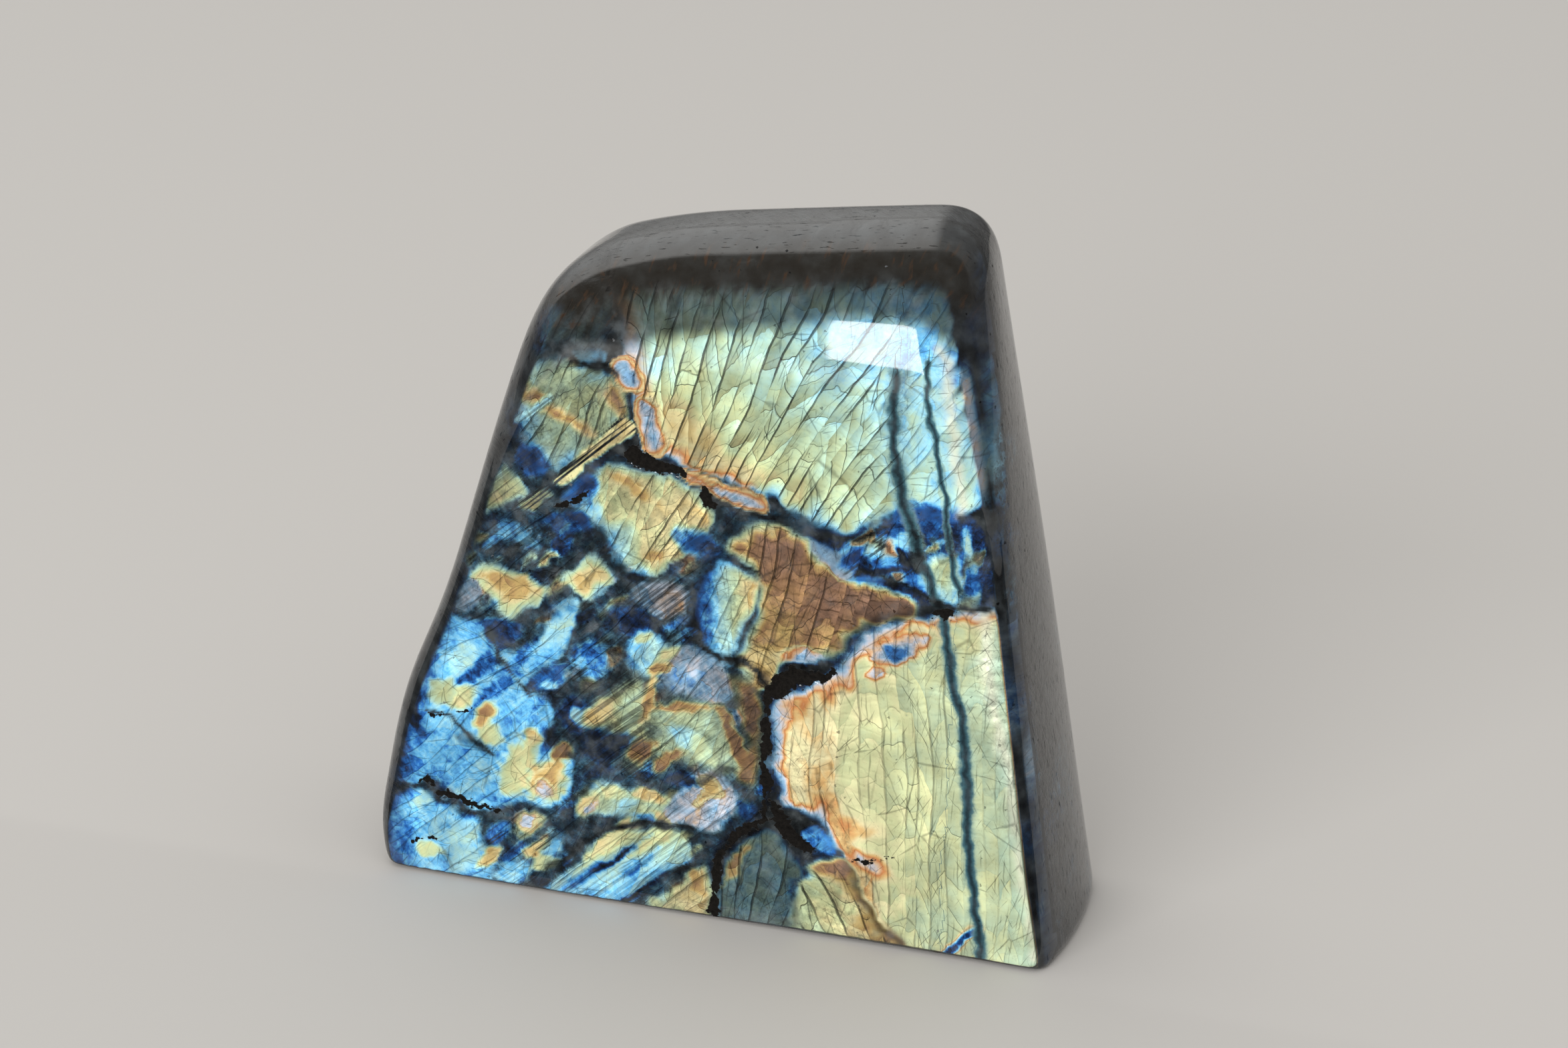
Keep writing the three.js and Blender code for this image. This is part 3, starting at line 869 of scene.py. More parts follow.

# %% [markdown]
# ## Where the flash goes out
#
# The layers lie nearly along the show face, so they only throw light back where the surface looks
# about the same way. So the flash goes out where an edge rounds over: along the top raggedly, in
# streaks of the cleavage, and towards the left edge it thins out to blue. That fade is painted into
# the colour by the direction of the surface, and the dark band over the rolled top and along the left
# edge is painted shade. A pale haze lies on the upper right edge. The other faces and the black
# between the grains are the same stone, with a faint blue or green patch here and there, and rust
# has crept into the top.

# %% Where the surface turns away and where the flash is faint
FULL_FLASH = math.cos(math.radians(13))
NO_FLASH = math.cos(math.radians(27))
ROLL_LINE = (  # x, z in mm
    (-45, 119), (-30, 121.5), (-15, 128), (0, 130.7), (15, 133.6), (30, 136.8), (40, 136.5),
    (44, 135.4), (52, 132),
)
LEFT_EDGE = (  # z, x in mm
    (0, -77.8), (14, -79.7), (40, -75.2), (62, -66.8), (80, -61.1), (140, -44.2),
)
HAZE = 0.14  # flash of the black between the grains, where it has any
FAINT = 0.1  # the same, on the other faces

normal_x, normal_y, normal_z = normals.T
place_x, _, place_z = places.T
patches = np.array([noise.noise(Vector(place) / 13) for place in places])
tints = np.array([noise.noise(Vector(place) / 21 + Vector((40, 0, 0))) for place in places])
streaked = np.array([noise.noise(Vector((u / 1.6, v / 14, 0))) for u, v, _ in cleavage])
facing_share = smooth(NO_FLASH, FULL_FLASH, facing + 0.07 * streaked * smooth(100, 125, place_z))
beyond = place_z - np.interp(place_x, *np.array(ROLL_LINE).T) + 0.8 * uneven
rolled = 0.87 * smooth(-2.5, 2.5, beyond + streaked) + 0.13 * smooth(2.5, 14, beyond + 7 * streaked)
rust = smooth(3, 11, beyond) * smooth(0.3, 0.6, -normal_y)
faint = FAINT * smooth(0.1, 0.5, patches) * (normal_z < 0.5)
right_facet = smooth(0.1, 0.25, -normal_y) * smooth(0.7, 0.85, normal_x)
faint = np.maximum(faint, right_facet * (0.04 + 0.22 * smooth(-0.1, 0.4, tints + 0.5 * streaked)))
from_left = place_x - np.interp(place_z, *np.array(LEFT_EDGE).T) + 1.5 * uneven
left_dark = 1 - smooth(1.0, 11.0, from_left)
right_haze = smooth(0.25, 0.42, normal_x) * (1 - smooth(0.55, 0.68, normal_x))
right_haze *= smooth(99, 107, place_z) * (1 - smooth(125, 132, place_z))
print("vertices where the show face flashes in full:", int((facing_share > 0.99).sum()))

# %% Fade the map there and keep it in the mesh
# Painted shade over the rolled top: the flash darkens there and its order turns towards teal.
flash = np.maximum(flash, HAZE * smooth(0.0, 0.5, patches)) * (1 - rolled)
cracked *= calm * facing_share * (1 - 0.3 * rolled) * (1 - 0.6 * smooth(-0.5, 1.5, first_crack))
order += (0.4 - order) * 0.5 * rolled
side_order = np.where((order > 0.3) & (normal_x < 0.4), order * 0.8, 0.22 + 0.2 * tints)
order += (side_order - order) * (1 - smooth(0.0, 0.15, facing_share))
flash = flash * facing_share + (1 - facing_share) * faint
edge_highlight = edge_highlight * facing_share * (1 - rolled)
# Painted shade along the left edge: the flash darkens and its order drops towards blue.
flash *= 1 - 0.85 * left_dark
order -= 0.12 * left_dark * (order > 0.12)
flash = np.maximum(flash, 0.25 * right_haze)
second = np.maximum(second, right_haze)
order += (0.34 - order) * right_haze

MAP = {
    "zone": (np.clip(order, 0, 1), second, flash),
    "cleavage": cleavage.T,
    "marks": (twinned, hollow, edge_highlight),
    "cracks": (first_crack, second_crack, murk),
    "stains": (rust, cracked, wrinkled),
    "face": (facing_share, calm, np.zeros(count)),
}
for name, columns in MAP.items():
    layer = stone_mesh.attributes.new(name, "FLOAT_VECTOR", "POINT")
    layer.data.foreach_set("vector", np.column_stack(columns).ravel())
print("layers on the mesh:", [layer.name for layer in stone_mesh.attributes])

# %% [markdown]
# ## The finish: polished labradorite
#
# The real thing is a dark feldspar under a polish like glass, with the flash a fraction of a
# millimetre down. The material is built the same way. The base is the stone: its dark body or its
# coloured flash, a little metallic and rather rough, because the light comes back from a stack of
# layers and from thousands of tiny steps in them. The coat over it is the polish, smooth whatever
# the stone does below.

# %% Read the map in the material
finish = bpy.data.materials.new("polished labradorite")
finish.use_nodes = True
tree = finish.node_tree
tree.nodes.clear()

maps = {}
for name in MAP:
    vector = add("Attribute", attribute_name=name, out="Vector")
    maps[name] = add("SeparateXYZ", Vector=vector).node.outputs
zone_order, zone_second, zone_flash = maps["zone"]
cleave_u, cleave_v, cleave_seed = maps["cleavage"]
mark_twins, mark_hollow, map_edge_highlight = maps["marks"]
crack_one, crack_two, map_murk = maps["cracks"]
map_rust, map_cracked, map_wrinkles = maps["stains"]
map_open, map_calm, _ = maps["face"]
here = add("TexCoord", out="Object")
place_mm = add("VectorMath", here, Scale=1 / MM, operation="SCALE")
print("the material reads", len(maps), "layers of the map")

# %% [markdown]
# ## Cleavage cracks
#
# Feldspar cleaves along two planes, so each grain is crossed by nearly parallel cracks about 4 mm
# apart, by fine ones every millimetre or so, and by crooked cracks across. Along the cleavage
# coordinates of the map, a one-dimensional Voronoi pattern gives lines at uneven distances. Noise
# bends the coordinates first and lets each line fade in and out. A crazing of finer lines that
# close into meshes, as in old glaze, is the edge of a two-way Voronoi pattern.

# %% Bend the cleavage coordinates
slow_bend = add("TexNoise", Vector=place_mm, Scale=1 / 24, Detail=0.0)
quick_bend = add("TexNoise", Vector=place_mm, Scale=1 / 5, Detail=2.0)
bend = add("Math", slow_bend, 6.0, cleave_u, operation="MULTIPLY_ADD")
bent_u = add("Math", quick_bend, 0.9, bend, operation="MULTIPLY_ADD")
bent_v = add("Math", slow_bend, 7.0, cleave_v, operation="MULTIPLY_ADD")
bent = add("CombineXYZ", bent_u, bent_v, cleave_seed)


def crack_lines(turn, spacing, width, often, length=20.0):
    """Lines turned from the cleavage, their spacing and width in mm, there for a share of it."""
    angle = math.radians(turn)
    lean = add("Math", bent_v, math.sin(angle), bent_u, operation="MULTIPLY_ADD")
    steps = add("Math", lean, 1 / spacing, cleave_seed, operation="MULTIPLY_ADD")
    edge = add(
        "TexVoronoi", W=steps, Scale=1.0, out="Distance", voronoi_dimensions="1D",
        feature="DISTANCE_TO_EDGE",
    )
    stretched = add("VectorMath", bent, (0.6 / spacing, 1 / length, 1.0), operation="MULTIPLY")
    fading = add("TexNoise", Vector=stretched, Scale=1.0, Detail=2.0, out=0)
    there = add(
        "MapRange", fading, 0.66 - 0.4 * often, 0.84 - 0.4 * often, interpolation_type="SMOOTHSTEP"
    )
    thickness = add("MapRange", {0: there, 3: 0.3 * width / spacing, 4: width / spacing})
    line = add("MapRange", edge, 0.0, thickness, 1.0, 0.0, interpolation_type="SMOOTHSTEP")
    drawn = add("Math", line, there, operation="MULTIPLY")
    return drawn, steps


long_cracks, long_steps = crack_lines(0, 3.8, 0.32, 0.7)
oblique_cracks, _ = crack_lines(11, 7.0, 0.28, 0.6)
counter_cracks, _ = crack_lines(-20, 8.0, 0.26, 0.55)
CRAZING = (1 / 8.5, 1 / 12.0, 1.0)  # meshes of 8.5 x 12 mm
crazed_place = add("VectorMath", bent, CRAZING, operation="MULTIPLY")
crazing = add("TexVoronoi", Vector=crazed_place, Scale=1.0, out="Distance", feature="DISTANCE_TO_EDGE")
crazing_there = add("MapRange", quick_bend, 0.42, 0.62, 0.0, 0.034)
crazing = add("MapRange", crazing, 0.0, crazing_there, 1.0, 0.0, interpolation_type="SMOOTHSTEP")
hairlines, _ = crack_lines(3, 1.2, 0.26, 0.4, length=9.0)
crossed_hairlines, _ = crack_lines(48, 2.6, 0.22, 0.45, length=5.0)
countered_hairlines, _ = crack_lines(-38, 3.1, 0.22, 0.45, length=5.0)
print("nodes so far:", len(tree.nodes))

# %% [markdown]
# ## Scales between the cracks
#
# Between two long cracks the stone breaks off in curved steps, like scales or the arcs in broken
# glass. Each strip is numbered by the Voronoi pattern of its cracks: its colour is a random number,
# and its middle tells how far across the strip a point is. The steps are lines across the strip,
# bent to arcs by the square of that, and moved along it by the strip's own number. Each scale has
# its own brightness and tint, and a painted shade that grows darker towards one of its edges, as if
# the step were lit from the other side.

# %% Strips, scales and the arcs between them
SCALE_LENGTH = 6.5  # mm along the strip
ARC_WIDTH = 0.24  # mm
STRIPS_APART = 31.0  # scales by which the strips are shifted against each other, times a random share
strip = add("TexVoronoi", W=long_steps, Scale=1.0, voronoi_dimensions="1D").node.outputs
strip_tint = add("SeparateColor", strip["Color"]).node.outputs
strip_slope = add("Math", long_steps, strip["W"], operation="SUBTRACT")
arched = add("Math", strip_slope, strip_slope, operation="MULTIPLY")
arch_size = add("MapRange", strip_tint[1], 0.0, 1.0, -0.9, 1.2)
arch_lean = add("MapRange", strip_tint[2], 0.0, 1.0, -1.5, 1.3)
arc = cleave_seed
for source, amount in (
    (bent_v, 1 / SCALE_LENGTH), (strip_tint[0], STRIPS_APART), (arched, arch_size),
    (strip_slope, arch_lean), (quick_bend, 0.9),
):
    arc = add("Math", source, amount, arc, operation="MULTIPLY_ADD")
scale = add("TexVoronoi", W=arc, Scale=1.0, voronoi_dimensions="1D").node.outputs
scale_edge = add(
    "TexVoronoi", W=arc, Scale=1.0, out="Distance", voronoi_dimensions="1D", feature="DISTANCE_TO_EDGE"
)
scale_tint = add("SeparateColor", scale["Color"]).node.outputs
scale_slope = add("Math", arc, scale["W"], operation="SUBTRACT")
busy = add("Math", map_cracked, 0.9, 0.1, operation="MULTIPLY_ADD")
busy = add("Math", busy, map_calm, operation="MULTIPLY")
strip_shade = add("Math", strip_slope, busy, operation="MULTIPLY")
scale_shade = add("Math", scale_slope, busy, operation="MULTIPLY")
arc_line = add(
    "MapRange", scale_edge, 0.0, ARC_WIDTH / SCALE_LENGTH, 1.0, 0.0, interpolation_type="SMOOTHSTEP"
)
arc_there = add("MapRange", scale_tint[2], 0.4, 1.0, interpolation_type="SMOOTHSTEP")
arcs = add("Math", arc_line, arc_there, operation="MULTIPLY")
print("nodes so far:", len(tree.nodes))

# %% [markdown]
# Where the stone is jumbled it is crumpled like foil instead, and the copper grain has wrinkles as
# leather does: lumps about 3 mm long with a sunk line between them, fainter on one side of the
# grain.

# %% Crumples and wrinkles
crumple = add("TexNoise", Vector=bent, Scale=1 / 2.0, Detail=3.0, Roughness=0.6, Distortion=0.3, out=0)
FOLD = 2.9  # mm from one wrinkle to the next
folds = cleave_seed
for source, amount in ((bent_v, 1 / FOLD), (strip_tint[0], 1.7), (quick_bend, 1.4)):
    folds = add("Math", source, amount, folds, operation="MULTIPLY_ADD")
fold_edge = add(
    "TexVoronoi", W=folds, Scale=1.0, out="Distance", voronoi_dimensions="1D",
    feature="DISTANCE_TO_EDGE",
)
lumps = add("MapRange", fold_edge, 0.0, 0.22, interpolation_type="SMOOTHSTEP")
sunk_between = add("Math", lumps, 1.0, operation="SUBTRACT")
folded = add("MapRange", slow_bend, 0.3, 0.6, 1.0, 0.35)
folded = add("Math", folded, map_wrinkles, operation="MULTIPLY")
wrinkle = add("Math", sunk_between, folded, operation="MULTIPLY")
print("nodes so far:", len(tree.nodes))

# %% [markdown]
# ## From order to colour
#
# Interference colours come in a fixed sequence, as on an oil film, so a colour ramp holds them and
# the order from the map picks one. A second ramp is the paler sequence of the second order, with
# lavender and orange, which only some rims go through. Noise, strips and scales shift the order a
# little, so that no two of them have quite the same colour.

# %% Shift the order and look its colour up
drift = add("TexNoise", Vector=place_mm, Scale=1 / 6, Detail=3.0, out=0)
shift = -0.035
for source, amount in (
    (strip_tint[0], 0.03), (scale_tint[0], 0.04), (strip_slope, 0.03), (scale_slope, -0.03)
):
    shift = add("Math", source, amount, shift, operation="MULTIPLY_ADD")
shift = add("Math", shift, map_calm, operation="MULTIPLY")
shift = add("Math", drift, 0.2, shift, operation="MULTIPLY_ADD")
shift = add("Math", shift, 0.11, operation="SUBTRACT")
messy = add("Math", crumple, 0.5, operation="SUBTRACT")
thin = add("MapRange", zone_order, 0.15, 0.5, 1.0, 0.15)
for share in (thin, map_calm):
    messy = add("Math", messy, share, operation="MULTIPLY")
shift = add("Math", messy, 0.42, shift, operation="MULTIPLY_ADD")
settled = add("MapRange", zone_order, 0.02, 0.3, 0.25, 1.0)
shifted = add("Math", shift, settled, zone_order, operation="MULTIPLY_ADD")

FIRST_ORDER = (
    (0.0, "#0c0f12"), (0.06, "#141d30"), (0.12, "#1b3c74"), (0.18, "#2f78cc"), (0.25, "#72caff"),
    (0.32, "#a8e8ff"), (0.4, "#c6f2e6"), (0.48, "#cfe9c2"), (0.56, "#dde6ae"), (0.64, "#f3e4aa"),
    (0.72, "#e3c27c"), (0.8, "#bf9468"), (0.88, "#9d7860"), (1.0, "#74594a"),
)
SECOND_ORDER = (
    (0.0, "#080a0e"), (0.08, "#0d2c6c"), (0.16, "#3f8ad8"), (0.25, "#9fcbec"), (0.34, "#d6deec"),
    (0.42, "#eecaa4"), (0.49, "#d88e56"), (0.56, "#eac282"), (0.64, "#f6ebb8"), (0.76, "#e0e6b0"),
    (0.88, "#c8e0c0"), (1.0, "#b4dccc"),
)
order_colours = []
for sequence in (FIRST_ORDER, SECOND_ORDER):
    order_colours.append(with_stops(add("ValToRGB", Fac=shifted), sequence))
spectral = add(
    "Mix", {0: zone_second, 6: order_colours[0], 7: order_colours[1]}, out=2, data_type="RGBA"
)
# The painted edge highlight turns the flash nearly white along the right edges.
spectral = add("Mix", {0: map_edge_highlight, 6: spectral, 7: linear("#fbfbe0")}, out=2, data_type="RGBA")
print("colours in the two sequences:", len(FIRST_ORDER), len(SECOND_ORDER))

# %% [markdown]
# ## Twin streaks
#
# Some grains are stacks of thin twins, turned so that only every other one flashes. They show as
# fine straight streaks, 0.3 to 0.6 mm wide and centimetres long, all at about 41 degrees. Noise
# that is stretched along that way makes them.

# %% Streaks where the map says twins
twin_turned = add("VectorRotate", Vector=place_mm, Angle=TWIN_ANGLE, rotation_type="Y_AXIS")
TWIN_SIZE = (1 / 30, 1 / 10, 1 / 0.6)  # long, deep and thin, in mm
twin_place = add("VectorMath", twin_turned, TWIN_SIZE, operation="MULTIPLY")
twin_noise = add("TexNoise", Vector=twin_place, Scale=1.0, Detail=2.5, out=0)
twin_bright = add("MapRange", twin_noise, 0.44, 0.56, 0.0, 1.0, interpolation_type="SMOOTHSTEP")
untwinned = add("Math", 1.0, mark_twins, operation="SUBTRACT")
twin_share = add("Math", twin_bright, mark_twins, untwinned, operation="MULTIPLY_ADD")
print("twins at", round(math.degrees(TWIN_ANGLE)), "degrees")

# %% [markdown]
# ## How bright each point flashes
#
# Everything found so far meets here. Strips and scales vary the brightness by about a third, each
# by a random share and by its slope; the slope is painted shade and highlight, darker on one side of
# each strip and scale and lighter on the other, as if each step were lit. Cracks take most of it
# away, and hairlines and crazing about half. Noise of a centimetre makes it uneven. In clouded grains
# noise of 2 to 3 mm puts the flash out in spots, and crumbs of black stone of about a millimetre are
# strewn over all.

# %% Brightness of the flash
brightness = -0.16
# Painted shade and highlight: the strip and scale slopes lighten one side of each step and darken the
# other.
for source, amount in (
    (strip_tint[1], 0.17), (scale_tint[1], 0.15), (strip_slope, -0.34), (scale_slope, 0.3),
    (wrinkle, 0.25),
):
    brightness = add("Math", source, amount, brightness, operation="MULTIPLY_ADD")
brightness = add("Math", brightness, busy, 1.0, operation="MULTIPLY_ADD")
uneven_light = add("TexNoise", Vector=place_mm, Scale=1 / 9, Detail=2.0, out=0)
uneven_light = add("MapRange", uneven_light, 0.3, 0.7, 0.72, 1.24)
brightness = add("Math", brightness, uneven_light, operation="MULTIPLY")
opened = []
for source, there, amount in (
    (long_cracks, map_cracked, 0.74), (oblique_cracks, map_cracked, 0.7),
    (counter_cracks, map_cracked, 0.75), (arcs, map_cracked, 0.6), (hairlines, map_calm, 0.5),
    (crossed_hairlines, map_calm, 0.55), (countered_hairlines, map_calm, 0.55),
    (crazing, map_calm, 0.42),
):
    opened.append(add("Math", source, there, operation="MULTIPLY"))
    kept = add("Math", opened[-1], -amount, 1.0, operation="MULTIPLY_ADD")
    brightness = add("Math", brightness, kept, operation="MULTIPLY")
open_cracks, open_arcs = opened[0], opened[3]
patchy = add("MapRange", crumple, 0.3, 0.7, -0.75, 0.55)
patchy = add("Math", patchy, map_calm, operation="MULTIPLY")
patchy = add("Math", patchy, map_murk, 1.0, operation="MULTIPLY_ADD")
brightness = add("Math", brightness, patchy, operation="MULTIPLY")
flash_colour = add("VectorMath", spectral, Scale=brightness, operation="SCALE")
spots = add("TexNoise", Vector=place_mm, Scale=1 / 2.6, Detail=4.0, Roughness=0.6, out=0)
spots = add("MapRange", spots, 0.44, 0.6, 1.0, 0.0, interpolation_type="SMOOTHSTEP")
clouding = add("Math", spots, map_murk, operation="MULTIPLY")
unclouded = add("Math", clouding, -0.85, 1.0, operation="MULTIPLY_ADD")
crumbs = add("TexNoise", Vector=place_mm, Scale=1.1, Detail=3.0, Roughness=0.6, out=0)
crumbs = add("MapRange", crumbs, 0.57, 0.64, interpolation_type="SMOOTHSTEP")
crumbly = add("Math", map_murk, 0.75, 0.08, operation="MULTIPLY_ADD")
crumbs = add("Math", crumbs, crumbly, operation="MULTIPLY")
uncrumbed = add("Math", 1.0, crumbs, operation="SUBTRACT")
unclouded = add("Math", unclouded, uncrumbed, operation="MULTIPLY")
print("nodes so far:", len(tree.nodes))

# %% [markdown]
# ## The dark body
#
# Without its flash the stone is nearly black, clouded with grey, and a little lighter where it lies
# under the show face. Grains of ore of 0.3 to 0.6 mm are strewn in it, most of them black and some
# pale.

# %% Body and ore
SPECKS_APART = 2.2  # mm
clouds = add("TexNoise", Vector=place_mm, Scale=1 / 4, Detail=6.0, out=0)
bodies = []
for shades in (("#111315", "#1f2224", "#303436"), ("#0a0b0c", "#202426", "#464b4d")):
    stops = list(zip((0.34, 0.5, 0.68), shades))
    bodies.append(with_stops(add("ValToRGB", Fac=clouds), stops))
body = add("Mix", {0: map_open, 6: bodies[0], 7: bodies[1]}, out=2, data_type="RGBA")
ragged_place = add("TexNoise", Vector=place_mm, Scale=2.2, Detail=2.0, out="Color")
ragged_place = add("VectorMath", ragged_place, (0.9, 0.9, 0.9), place_mm, operation="MULTIPLY_ADD")
speck = add("TexVoronoi", Vector=ragged_place, Scale=1 / SPECKS_APART).node.outputs
speck_tint = add("SeparateColor", speck["Color"]).node.outputs
speck_chosen = add("MapRange", speck_tint[0], 0.7, 1.0, 0.0, 0.16)
speck_mask = add("Math", speck["Distance"], speck_chosen, operation="LESS_THAN")
ORE = ((0.0, "#0a0a0b"), (0.9, "#55575a"))
speck_colour = with_stops(add("ValToRGB", Fac=speck_tint[1]), ORE, "CONSTANT")
print("nodes so far:", len(tree.nodes))

# %% [markdown]
# ## Long cracks and hollows, drawn fine
#
# The signed distances of the map are met with noise of about a millimetre, which gives the long
# cracks gritty sides and the hollows a ragged edge. Beside a crack the layers thin out, so the
# flash goes through grey-green and teal to the dark of the healed middle.

# %% Masks of the long cracks and the hollows
grit = add("TexNoise", Vector=place_mm, Scale=1.4, Detail=4.0, out=0)
nearness = []
for distance, reach in ((crack_one, 2.1), (crack_two, 1.2)):
    away = add("Math", distance, operation="ABSOLUTE")
    away = add("Math", away, 1 / reach, operation="MULTIPLY")
    nearness.append(add("Math", grit, 0.3, away, operation="MULTIPLY_ADD"))
closest = add("Math", nearness[0], nearness[1], operation="MINIMUM")
healed = add("MapRange", nearness[0], 0.1, 0.8, 1.0, 0.0, interpolation_type="SMOOTHSTEP")
thinned = add("MapRange", closest, 0.5, 1.15, 1.0, 0.0, interpolation_type="SMOOTHSTEP")
THINNED = ((0.25, "#2c4650"), (0.6, "#4f7c88"), (0.95, "#9cc0b4"))
beside_crack = with_stops(add("ValToRGB", Fac=closest), THINNED)
flash_colour = add("Mix", {0: thinned, 6: flash_colour, 7: beside_crack}, out=2, data_type="RGBA")
tearing = add("TexNoise", Vector=place_mm, Scale=0.75, Detail=4.0, out=0)
ragged_hollow = add("Math", tearing, 3.2, mark_hollow, operation="MULTIPLY_ADD")
hollows = add("MapRange", ragged_hollow, 1.6, 1.85, 1.0, 0.0, interpolation_type="SMOOTHSTEP")
print("nodes so far:", len(tree.nodes))

# %% [markdown]
# ## Putting the finish together
#
# The body's colour gives way to the flash by the share from the map, less where it is twinned,
# clouded, healed or specked. Rust streaks the top along the cleavage.

# %% Base colour
unhealed = add("Math", healed, -0.38, 1.0, operation="MULTIPLY_ADD")
share = add("Math", zone_flash, twin_share, operation="MULTIPLY")
share = add("Math", share, unclouded, operation="MULTIPLY")
share = add("Math", share, unhealed, operation="MULTIPLY", use_clamp=True)
unspecked = add("Math", speck_mask, -0.6, 1.0, operation="MULTIPLY_ADD")
flash_share = add("Math", share, unspecked, operation="MULTIPLY")
RUST_STREAK = (1 / 1.3, 1 / 3.5, 1.0)  # 1.3 mm wide and 3.5 mm long
streak_place = add("VectorMath", bent, RUST_STREAK, operation="MULTIPLY")
streaks = add("TexNoise", Vector=streak_place, Scale=1.0, Detail=3.0, out=0)
rusty = add("MapRange", streaks, 0.55, 0.72, interpolation_type="SMOOTHSTEP")
rusty = add("Math", rusty, map_rust, operation="MULTIPLY")
warm = add("Math", map_rust, 0.5, operation="MULTIPLY")
for cover, hex_colour in ((warm, "#2b251c"), (rusty, "#3a2a1d")):
    body = add("Mix", {0: cover, 6: body, 7: linear(hex_colour)}, out=2, data_type="RGBA")
body_colour = add("Mix", {0: speck_mask, 6: body, 7: speck_colour}, out=2, data_type="RGBA")
stone_colour = add("Mix", {0: flash_share, 6: body_colour, 7: flash_colour}, out=2, data_type="RGBA")
matt_black = add("Mix", {0: grit, 6: linear("#050505"), 7: linear("#24211e")}, out=2, data_type="RGBA")
base_colour = add("Mix", {0: hollows, 6: stone_colour, 7: matt_black}, out=2, data_type="RGBA")
print("nodes so far:", len(tree.nodes))

# %% [markdown]
# ## Relief under the polish
#
# The steps between strips and scales, the open cracks, the crumples and the wrinkles become a bump
# in the base, and the coat over it stays smooth, except in the hollows.

# %% Relief under the polish
STEP_HEIGHT = 1.3 * MM
PIT_DEPTH = 0.5 * MM
messy = add("Math", crumple, map_murk, operation="MULTIPLY")
steps_height = 0.0
for source, amount in (
    (strip_shade, 0.5), (scale_shade, 0.45), (open_cracks, -0.6), (open_arcs, -0.4), (messy, 1.0),
    (wrinkle, 0.5),
):
    steps_height = add("Math", source, amount, steps_height, operation="MULTIPLY_ADD")
steps_height = add("Math", steps_height, map_calm, operation="MULTIPLY")
inner_normal = add("Bump", Height=steps_height, Strength=1.0, Distance=STEP_HEIGHT)
pit_height = add("Math", grit, hollows, operation="MULTIPLY")
coat_normal = add("Bump", Height=pit_height, Strength=1.0, Distance=PIT_DEPTH)
base_normal = add("Mix", {0: hollows, 4: inner_normal, 5: coat_normal}, out=1, data_type="VECTOR")
print("nodes so far:", len(tree.nodes))

# %% [markdown]
# ## Worn polish on the outer faces
#
# The show face is polished best. On the other faces fine scratches are left, and the grains of ore
# have lost their polish, so both are matt: there is no coat over them, nor over the hollows.

# %% Worn polish on the outer faces
SCRATCH = (1 / 2.6, 1 / 0.5, 1 / 3.2)  # one over its size in mm
scratch_place = add("VectorMath", place_mm, SCRATCH, operation="MULTIPLY")
scratches = add("TexNoise", Vector=scratch_place, Scale=1.0, Detail=3.0, out=0)
scratches = add("MapRange", scratches, 0.63, 0.68, interpolation_type="SMOOTHSTEP")
worn = add("Math", scratches, speck_mask, operation="MAXIMUM")
outer = add("Math", 0.8, map_open, operation="SUBTRACT", use_clamp=True)
worn = add("Math", worn, outer, operation="MULTIPLY")
unpolished = add("Math", hollows, worn, operation="MAXIMUM")
polish = add("Math", 1.0, unpolished, operation="SUBTRACT")
print("nodes so far:", len(tree.nodes))

# %% [markdown]
# ## The shader
#
# Layers mirror their own colour, so the base is partly metallic where it flashes, here by about a
# seventh. Feldspar's IOR is 1.56, and its polish is as smooth as glass.

# %% The shader
FELDSPAR_IOR = 1.56
METALLIC_FLASH = 0.15
metal_share = add("Math", flash_share, METALLIC_FLASH, operation="MULTIPLY")
base_roughness = add("MapRange", {0: hollows, 3: 0.38, 4: 0.85})
shader = add(
    "BsdfPrincipled",
    {
        "Base Color": base_colour, "Metallic": metal_share, "Roughness": base_roughness,
        "IOR": FELDSPAR_IOR, "Specular IOR Level": 0.1, "Normal": base_normal,
        "Coat Weight": polish, "Coat Roughness": 0.03, "Coat IOR": FELDSPAR_IOR,
        "Coat Normal": coat_normal,
    },
)
add("OutputMaterial", Surface=shader)
print("nodes in the finish:", len(tree.nodes))

# %% [markdown]
# ## The stone in place of its plain solid
#
# The detailed stone rides on the part's one body and stands for the plain solid of the frame, which
# stays for the physics.

# %% Put the stone in the scene
stone_mesh.name = "labradorite_stone"
stone_mesh.materials.clear()
stone_mesh.materials.append(finish)
stone = bpy.data.objects.new("labradorite_stone", stone_mesh)
bpy.context.scene.collection.objects.link(stone)
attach(stone, "root")
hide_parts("stone")
print("the stone has", len(stone_mesh.vertices), "vertices")

# %% [markdown]
# ## Floor and black card
#
# The stone stands on a pale table top of matt laminate, big enough to be the backdrop as well. A
# polished face that leans back shows the table in front of it as a grey veil, so a studio lays a
# black card just out of view. This one is seen only by mirror reflections.

# %% Floor and black card
def sheet(name, width, depth, place, material_name, hex_colour, roughness):
    """A level rectangle of the studio, in metres, in a plain material."""
    sheet_mesh = bpy.data.meshes.new(name)
    outline = bmesh.new()
    bmesh.ops.create_grid(outline, x_segments=1, y_segments=1, size=0.5)
    bmesh.ops.scale(outline, vec=(width, depth, 1), verts=outline.verts)
    bmesh.ops.translate(outline, vec=place, verts=outline.verts)
    outline.to_mesh(sheet_mesh)
    outline.free()
    plain = bpy.data.materials.new(material_name)
    plain.use_nodes = True
    plain_shader = plain.node_tree.nodes["Principled BSDF"]
    plain_shader.inputs["Base Color"].default_value = linear(hex_colour)
    plain_shader.inputs["Roughness"].default_value = roughness
    sheet_mesh.materials.append(plain)
    laid = bpy.data.objects.new(name, sheet_mesh)
    bpy.context.scene.collection.objects.link(laid)
    return laid


